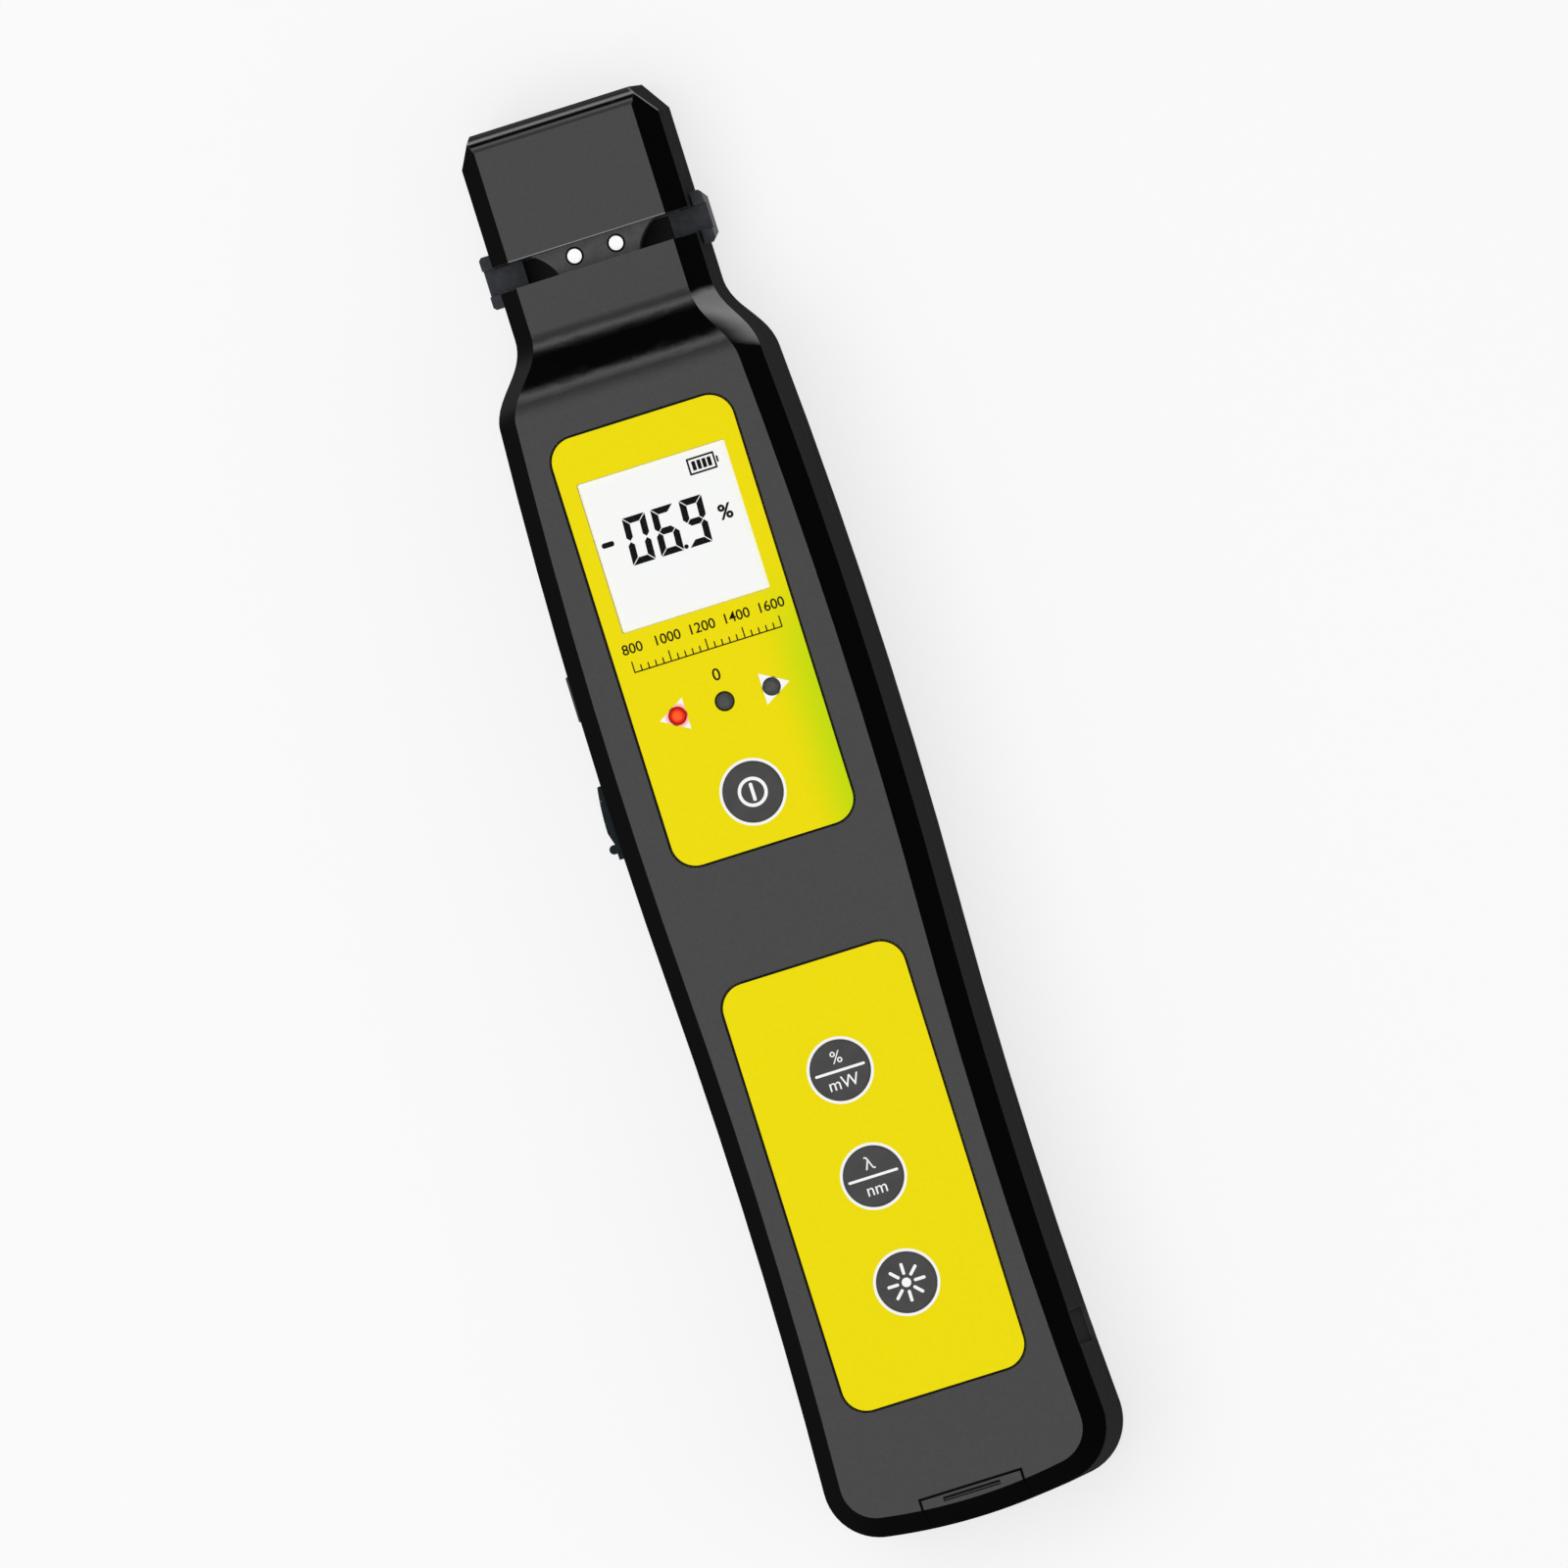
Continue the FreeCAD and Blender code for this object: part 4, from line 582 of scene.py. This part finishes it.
def makePanelBorders():
    # thin dark line round the edge of each yellow panel
    bm = bmesh.new()
    for panel in ("upper_overlay", "lower_overlay"):
        low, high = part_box(panel)
        middle = topCentre(panel) - Vector((0, 0, ink["sunk"] * mm))
        size = Matrix.Diagonal((high.x - low.x, high.y - low.y, 1, 1))
        made = bmesh.ops.create_grid(bm, x_segments=1, y_segments=1, size=0.5,
                                     matrix=Matrix.Translation(middle) @ size)
        bmesh.ops.bevel(bm, geom=made["verts"], offset=panelBorders["round"] * mm,
                        affect="VERTICES", segments=panelBorders["steps"], profile=0.5,
                        material=-1)
        face = max(bm.faces, key=lambda f: f.calc_area())
        border = bmesh.ops.inset_region(bm, faces=[face], use_boundary=True,
                                        thickness=panelBorders["width"] * mm)["faces"]
        bmesh.ops.delete(bm, geom=[face], context="FACES_ONLY")
        thicken(bm, border)
    finishPiece(bm, "panelBorders", inks["black"], "housing")


makePanelBorders()

# painted shade beside the port cover's gap and in its nail groove
coverGapShade = {"gap": 0.25, "line": 0.16, "drop": 1.7}
nailShade = {"half": 4.7, "top": -110.8, "low": -111.5, "deep": 0.5, "thick": 0.34,
             "thin": 0.18}


def makeCoverLines():
    # dark lines of painted shade along the port cover's gap and in its nail groove
    bm = bmesh.new()
    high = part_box("port_cover")[1]
    out = coverGapShade["gap"] + coverGapShade["line"] / 2
    side, top = high.x / mm + out, high.y / mm + out
    foot = top - coverGapShade["drop"]
    front = Vector((0, 0, high.z))
    corners = [(-side, foot), (-side, top), (side, top), (side, foot)]
    for start, end in zip(corners, corners[1:]):
        addStroke(bm, front, start, end, coverGapShade["line"])
    finishPiece(bm, "coverGapShade", inks["black"], "housing")
    bm = bmesh.new()
    floor = front - Vector((0, 0, nailShade["deep"] * mm))
    for width, line in ((nailShade["thick"], nailShade["top"] - nailShade["thick"] / 2),
                        (nailShade["thin"], nailShade["low"] + nailShade["thin"] / 2)):
        reach = nailShade["half"] - width / 2
        addStroke(bm, floor, (-reach, line), (reach, line), width)
    finishPiece(bm, "nailShade", inks["black"], "cover")


makeCoverLines()

pinGapShade = {"pitch": 6.9, "inner": 1.14, "outer": 1.46, "sunk": 0.06}


def makePinGapShade():
    # thin dark ring of painted shade round each pin, where the gap round it is in shadow, from
    # the anvil's face to the pin's top
    bm = bmesh.new()
    centre = topCentre("anvil_pins")
    for side in (-0.5, 0.5):
        place = centre + Vector((side * pinGapShade["pitch"] * mm, 0, 0))
        addRing(bm, place, pinGapShade["inner"], pinGapShade["outer"], sunk=pinGapShade["sunk"])
    finishPiece(bm, "pinGapShade", inks["black"], "clamp")


makePinGapShade()

lampPointers = {"reach": 2.96, "hole": 1.46, "steps": 48}


def makeLampPointers():
    # white triangles behind the outer lamps, pointing outward, open where the lamp stands
    bm = bmesh.new()
    for lamp, side in (("lamp_left", math.pi), ("lamp_right", 0.0)):
        centre = topCentre(lamp)
        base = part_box("upper_overlay")[1].z - ink["sunk"] * mm
        where = Matrix.Translation((centre.x, centre.y, base)) @ Matrix.Rotation(side, 4, "Z")
        made = bmesh.ops.create_circle(bm, segments=lampPointers["steps"],
                                       radius=lampPointers["hole"] * mm)
        rim = list({edge for vert in made["verts"] for edge in vert.link_edges})
        grown = bmesh.ops.extrude_edge_only(bm, edges=rim)["geom"]
        for vert in [item for item in grown if isinstance(item, bmesh.types.BMVert)]:
            angle = math.atan2(vert.co.x, -vert.co.y) - math.pi / 2  # corner at the outward side
            off = (angle + math.pi / 3) % (math.tau / 3) - math.pi / 3
            reach = lampPointers["reach"] / 2 / math.cos(math.pi / 3 - abs(off))
            vert.co = vert.co.normalized() * reach * mm
        faces = [item for item in grown if isinstance(item, bmesh.types.BMFace)]
        verts = list({vert for face in faces for vert in face.verts})
        bmesh.ops.transform(bm, matrix=where, verts=verts)
        thicken(bm, faces)
    finishPiece(bm, "lampPointers", inks["white"], "housing")


makeLampPointers()

powerMark = {"inner": 1.85, "outer": 2.38, "bar": 1.2, "stroke": 0.55}
twoRowMarks = {"unit_key": ("%", "mW"), "wave_key": ("λ", "nm")}
rows = {"rise": 2.05, "height": 1.95, "barHalf": 3.9, "barStroke": 0.42}
beamMark = {"pinhole": 0.02, "dot": 0.75, "dotSteps": 32, "from": 1.5, "to": 2.9, "rays": 8,
            "stroke": 0.5}


def makeKeyMarks():
    # white signs on the key tops: on and off, units over units, and a beam
    bm = bmesh.new()
    centre = topCentre("power_key")
    addRing(bm, centre, powerMark["inner"], powerMark["outer"])
    addStroke(bm, centre, (0, -powerMark["bar"]), (0, powerMark["bar"]), powerMark["stroke"])
    finishPiece(bm, "powerMark", inks["white"], "power_key")
    for key, (upper, lower) in twoRowMarks.items():
        bm = bmesh.new()
        centre = topCentre(key)
        rise = Vector((0, rows["rise"] * mm, 0))
        addStroke(bm, centre, (-rows["barHalf"], 0), (rows["barHalf"], 0), rows["barStroke"])
        addWords(bm, upper, rows["height"], centre + rise)
        addWords(bm, lower, rows["height"], centre - rise)
        finishPiece(bm, key + "Mark", inks["white"], key)
    bm = bmesh.new()
    centre = topCentre("laser_key")
    addRing(bm, centre, beamMark["pinhole"], beamMark["dot"], beamMark["dotSteps"])
    for index in range(beamMark["rays"]):
        angle = math.tau * index / beamMark["rays"]
        ray = (math.cos(angle), math.sin(angle))
        start, end = ([share * beamMark[place] for share in ray] for place in ("from", "to"))
        addStroke(bm, centre, start, end, beamMark["stroke"])
    finishPiece(bm, "beamMark", inks["white"], "laser_key")


makeKeyMarks()
print("key and lamp prints made")

readout = {"digits": "069", "left": -5.35, "pitch": 4.7, "middle": 47.05, "height": 7.6,
           "width": 3.75, "stroke": 1.05, "gap": 0.1, "lean": 0.055, "dotX": 1.48,
           "dotY": 43.66, "dotSize": 0.72, "dotHole": 0.01, "dotSteps": 24,
           "minusX": -10.3, "minusY": 47.6, "minusHalf": 0.6, "minusStroke": 0.85,
           "unit": "%", "unitX": 9.05, "unitY": 47.0, "unitHeight": 2.3, "unitBold": 0.08}
segmentsOf = {"0": "abcdef", "6": "acdefg", "9": "abcdfg"}


def addDigit(bm, digit, centre):
    # seven segments with mitred corners, the side ones pointed where they meet the middle one
    r = readout
    w, h, t, e = r["width"] / 2, r["height"] / 2, r["stroke"], r["gap"]
    cap = [(-w + e, h), (w - e, h), (w - t - e, h - t), (-w + t + e, h - t)]
    side = [(w, h - e), (w, t / 2 + e), (w - t / 2, e), (w - t, t / 2 + e), (w - t, h - t - e)]
    bar = [(-w + t / 2 + e, 0), (-w + t + e, t / 2), (w - t - e, t / 2),
           (w - t / 2 - e, 0), (w - t - e, -t / 2), (-w + t + e, -t / 2)]
    shapes = {"a": (cap, 1, 1), "b": (side, 1, 1), "c": (side, 1, -1), "d": (cap, 1, -1),
              "e": (side, -1, -1), "f": (side, -1, 1), "g": (bar, 1, 1)}
    for letter in segmentsOf[digit]:
        corners, turnX, turnY = shapes[letter]
        addOutline(bm, centre, [(x * turnX + y * turnY * r["lean"], y * turnY)
                                for x, y in corners])


battery = {"left": 5.6, "right": 9.85, "low": 54.2, "high": 56.6, "line": 0.3, "nub": 0.45,
           "bars": 4, "barWidth": 0.62, "barHalf": 0.74}


def addBattery(bm, glass):
    # battery sign: box, nub and charge bars
    b = battery
    left, right, low, high = (b[name] for name in ("left", "right", "low", "high"))
    corners = [(left, low), (right, low), (right, high), (left, high)]
    for index, corner in enumerate(corners):
        addStroke(bm, glass, corners[index - 1], corner, b["line"])
    rise, nubX = (low + high) / 2, right + b["nub"]
    nubHalf = b["barHalf"] / 2
    addStroke(bm, glass, (nubX, rise - nubHalf), (nubX, rise + nubHalf), b["line"])
    foot, top = rise - b["barHalf"], rise + b["barHalf"]
    for index in range(b["bars"]):
        x = left + (right - left) * (index + 1) / (b["bars"] + 1)
        near, far = x - b["barWidth"] / 2, x + b["barWidth"] / 2
        addOutline(bm, glass, [(near, foot), (far, foot), (far, top), (near, top)])


def makeReadout():
    # plain reading on the display: a minus, three digits, a point, a unit and the battery
    bm = bmesh.new()
    r = readout
    glass = Vector((0, 0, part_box("display_module")[1].z))
    for index, digit in enumerate(r["digits"]):
        place = Vector((r["left"] + index * r["pitch"], r["middle"], 0)) * mm
        addDigit(bm, digit, glass + place)
    sign = glass + Vector((r["minusX"], r["minusY"], 0)) * mm
    addStroke(bm, sign, (-r["minusHalf"], 0), (r["minusHalf"], 0), r["minusStroke"])
    point = glass + Vector((r["dotX"], r["dotY"], 0)) * mm
    addRing(bm, point, r["dotHole"], r["dotSize"] / 2, r["dotSteps"])
    unit = glass + Vector((r["unitX"], r["unitY"], 0)) * mm
    addWords(bm, r["unit"], r["unitHeight"], unit, r["unitBold"])
    addBattery(bm, glass)
    finishPiece(bm, "readout", inks["black"], "housing")


makeReadout()

scalePrint = {"numbers": ("800", "1000", "1200", "1400", "1600"), "half": 12.2,
              "spread": 0.94, "numberY": 30.9, "numberHeight": 1.6, "bold": 0.02,
              "lineY": 27.2, "short": 0.9, "long": 1.7, "stroke": 0.2, "steps": 5,
              "zeroY": 23.0, "zeroHeight": 1.9}


def makeScalePrint():
    # plain number scale under the display and a zero over the middle lamp
    bm = bmesh.new()
    s = scalePrint
    film = Vector((0, 0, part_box("upper_overlay")[1].z))
    addStroke(bm, film, (-s["half"], s["lineY"]), (s["half"], s["lineY"]), s["stroke"])
    spans = len(s["numbers"]) - 1
    pitch = 2 * s["half"] / spans
    for index, number in enumerate(s["numbers"]):
        x = -s["half"] + index * pitch
        place = film + Vector((x * s["spread"], s["numberY"], 0)) * mm
        addWords(bm, number, s["numberHeight"], place, s["bold"])
    for index in range(spans * s["steps"] + 1):
        x = -s["half"] + index * pitch / s["steps"]
        tall = s["long"] if index % s["steps"] == 0 else s["short"]
        addStroke(bm, film, (x, s["lineY"]), (x, s["lineY"] + tall), s["stroke"])
    zero = Vector((topCentre("lamp_centre").x, s["zeroY"] * mm, film.z))
    addWords(bm, "0", s["zeroHeight"], zero, s["bold"])
    finishPiece(bm, "scalePrint", inks["black"], "housing")


makeScalePrint()
print("display and scale prints made")

caseScrews = {"places": ((17.25, -92.7), (17.25, -14.6), (17.25, 54.7), (10.2, 111.35)),
              "steps": 48, "low": 0.4, "seat": 1.7, "point": 14.6, "tip": 16.0, "head": 2.0,
              "shank": 1.1, "end": 0.4, "round": 0.35, "roundSteps": 4, "arm": 1.15,
              "slot": 0.27, "pit": 0.8, "taper": 0.6}


def growRim(bm, edges, centre, share, rise):
    # next band of a turned shape: the rim copied, scaled about its axis and raised
    made = bmesh.ops.extrude_edge_only(bm, edges=edges)["geom"]
    verts = [item for item in made if isinstance(item, bmesh.types.BMVert)]
    bmesh.ops.scale(bm, verts=verts, vec=(share, share, 1), space=Matrix.Translation(-centre))
    bmesh.ops.translate(bm, verts=verts, vec=(0, 0, rise * mm))
    edges = [item for item in made if isinstance(item, bmesh.types.BMEdge)]
    return [edge for edge in edges if set(edge.verts) <= set(verts)]


def addScrew(bm, x, y):
    # pan head with a cross recess, and a shank with a blunt point
    s = caseScrews
    base = Vector((x, y, s["low"])) * mm
    made = bmesh.ops.create_circle(bm, segments=s["steps"], radius=s["head"] * mm,
                                   matrix=Matrix.Translation(base))
    rim = list({edge for vert in made["verts"] for edge in vert.link_edges})
    arm = [(s["arm"], -s["slot"]), (s["arm"], s["slot"]), (s["slot"], s["slot"])]
    corners = []
    for quarter in range(4):
        turn = Matrix.Rotation(quarter * math.pi / 2, 3, "Z")
        corners += [bm.verts.new(base + turn @ Vector((*point, 0)) * mm) for point in arm]
    cross = [bm.edges.new((corners[i - 1], corners[i])) for i in range(len(corners))]
    bmesh.ops.bridge_loops(bm, edges=rim + cross)
    pit = growRim(bm, cross, base, s["taper"], s["pit"])
    bmesh.ops.contextual_create(bm, geom=pit)
    band = growRim(bm, rim, base, 1, s["seat"] - s["low"])
    for share, rise in ((s["shank"] / s["head"], 0), (1, s["point"] - s["seat"]),
                        (s["end"] / s["shank"], s["tip"] - s["point"])):
        band = growRim(bm, band, base, share, rise)
    bmesh.ops.contextual_create(bm, geom=band)
    bmesh.ops.bevel(bm, geom=rim, offset=s["round"] * mm, affect="EDGES",
                    segments=s["roundSteps"], profile=0.5, material=-1)


def makeCaseScrews():
    bm = bmesh.new()
    for x, y in caseScrews["places"]:
        addScrew(bm, -x, y)
        addScrew(bm, x, y)
    piece = finishPiece(bm, "caseScrews", finishes["steel"], "housing")
    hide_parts("case_screws")


makeCaseScrews()

returnCoil = {"wire": 0.7, "turns": 5, "steps": 28, "around": 12, "travel": 6.2}


def makeReturnCoil():
    # round-wire spring behind the slide bar, pressed toward its fixed end as the clamp lifts
    c = returnCoil
    low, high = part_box("return_spring")
    wire, length = c["wire"] * mm, high.y - low.y
    axis = Vector((0, low.y + wire / 2, (low.z + high.z) / 2))
    bm = bmesh.new()
    start = axis + Vector((high.x - wire / 2, 0, 0))
    made = bmesh.ops.create_circle(bm, segments=c["around"], radius=wire / 2, cap_ends=True,
                                   matrix=Matrix.Translation(start))
    end = made["verts"][0].link_faces[0]
    steps = c["turns"] * c["steps"]
    bmesh.ops.spin(bm, geom=[end, *end.edges, *end.verts], cent=axis, axis=(0, 1, 0),
                   angle=math.tau * c["turns"], steps=steps, dvec=(0, (length - wire) / steps, 0))
    piece = finishPiece(bm, "returnCoil", finishes["steel"], "housing")
    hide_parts("return_spring")
    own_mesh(piece)


makeReturnCoil()
print("screws and spring made")

studio = {"floor": 4.0, "drop": 0.05, "paper": "#F6F6F6", "fibre": "#F4F4F4", "fibreSize": 3.0,
          "fibreDepth": 0.002, "rough": (0.85, 0.95), "ambient": 0.4, "ownWhite": 0.72,
          "white": "#FFFFFF"}


def seenRays(tree):
    # 1 where a thing is seen straight, in a gloss or through glass
    path = addNode(tree, "ShaderNodeLightPath")
    seen = path.outputs["Is Camera Ray"]
    for ray in ("Is Glossy Ray", "Is Transmission Ray"):
        seen = addNode(tree, "ShaderNodeMath", larger, {
            0: seen, 1: path.outputs[ray]}).outputs["Value"]
    return seen


def studioPaper():
    # matt white paper sweep with a trace of fibre
    material, tree, shader = startMaterial("studioPaper", {"Specular IOR Level": 0.05})
    fibre = addGrain(tree, shader, studio["fibreSize"], studio["fibreDepth"], studio["rough"])
    tone = addNode(tree, "ShaderNodeMix", inColour, {
        0: fibre, 6: toLinear(studio["fibre"]), 7: toLinear(studio["paper"])})
    tree.links.new(tone.outputs[mixed], shader.inputs["Base Color"])
    # the sheet is seen mostly by its own white, so the shadow stays and the sheet stays pale
    seen = addNode(tree, "ShaderNodeMath", times, {0: seenRays(tree), 1: studio["ownWhite"]})
    white = addNode(tree, "ShaderNodeEmission", links={
        "Color": toLinear(studio["white"]), "Strength": 1.0})
    both = addNode(tree, "ShaderNodeMixShader", links={
        0: seen.outputs["Value"], 1: shader.outputs["BSDF"], 2: white.outputs["Emission"]})
    tree.links.new(both.outputs["Shader"], tree.nodes["Material Output"].inputs["Surface"])
    return material


def makeFloor():
    bm = bmesh.new()
    bmesh.ops.create_grid(bm, x_segments=2, y_segments=2, size=studio["floor"] / 2,
                          matrix=Matrix.Translation((0, 0, -studio["drop"] * mm)))
    mesh = bpy.data.meshes.new("floor")
    bm.to_mesh(mesh)
    bm.free()
    mesh.materials.append(studioPaper())
    floor = bpy.data.objects.new("floor", mesh)
    bpy.context.scene.collection.objects.link(floor)


makeFloor()

# lights in metres from the middle of the object: place, size and watts
lights = {
    "overhead": ((-0.2, 0.03, 0.9), (0.8, 0.8), 5.0),
    "fill": ((0.55, -0.25, 0.5), (0.6, 0.6), 0.75),
}


def makeLights():
    for name, (place, size, watts) in lights.items():
        data = bpy.data.lights.new(name, "AREA")
        data.shape = "RECTANGLE"
        data.size, data.size_y = size
        data.energy = watts
        lamp = bpy.data.objects.new(name, data)
        lamp.location = place
        lamp.rotation_mode = "QUATERNION"
        lamp.rotation_quaternion = (-Vector(place)).to_track_quat("-Z", "Y")
        lamp.visible_camera = False
        bpy.context.scene.collection.objects.link(lamp)


def makeWorld():
    world = bpy.data.worlds.new("studio")
    world.use_nodes = True
    tree = world.node_tree
    tree.nodes.clear()
    level = addNode(tree, "ShaderNodeMapRange", links={
        "Value": seenRays(tree), "To Min": studio["ambient"], "To Max": 1.0})
    sky = addNode(tree, "ShaderNodeBackground", links={
        "Color": toLinear(studio["white"]), "Strength": level.outputs["Result"]})
    addNode(tree, "ShaderNodeOutputWorld", links={"Surface": sky.outputs["Background"]})
    bpy.context.scene.world = world


makeLights()
makeWorld()

# the photograph: a long lens, a little from the right flank and the bottom end, head leaning left
cameraView = {"lens": 1000.0, "sensor": 36.0, "frameWidth": 246.15, "aim": (5.05, 3.5, 29.0),
              "toRight": 7.5, "toFoot": 0.3, "roll": 17.4, "clipEnd": 20.0}


def makeCamera():
    c = cameraView
    side, foot, roll = (math.radians(c[name]) for name in ("toRight", "toFoot", "roll"))
    reach = math.cos(foot)
    back = Vector((math.sin(side) * reach, -math.sin(foot), math.cos(side) * reach))
    right = Vector((0, 1, 0)).cross(back).normalized()
    up = back.cross(right)
    across = right * math.cos(roll) - up * math.sin(roll)
    upward = right * math.sin(roll) + up * math.cos(roll)
    data = bpy.data.cameras.new("camera")
    data.lens, data.sensor_width = c["lens"], c["sensor"]
    data.clip_end = c["clipEnd"]
    camera = bpy.data.objects.new("camera", data)
    away = c["frameWidth"] * mm * c["lens"] / c["sensor"]
    turned = Matrix((across, upward, back)).transposed().to_4x4()
    camera.matrix_world = Matrix.Translation(Vector(c["aim"]) * mm + back * away) @ turned
    bpy.context.scene.collection.objects.link(camera)
    bpy.context.scene.camera = camera


makeCamera()
bpy.context.scene.view_settings.view_transform = "Standard"
print("studio and camera set")
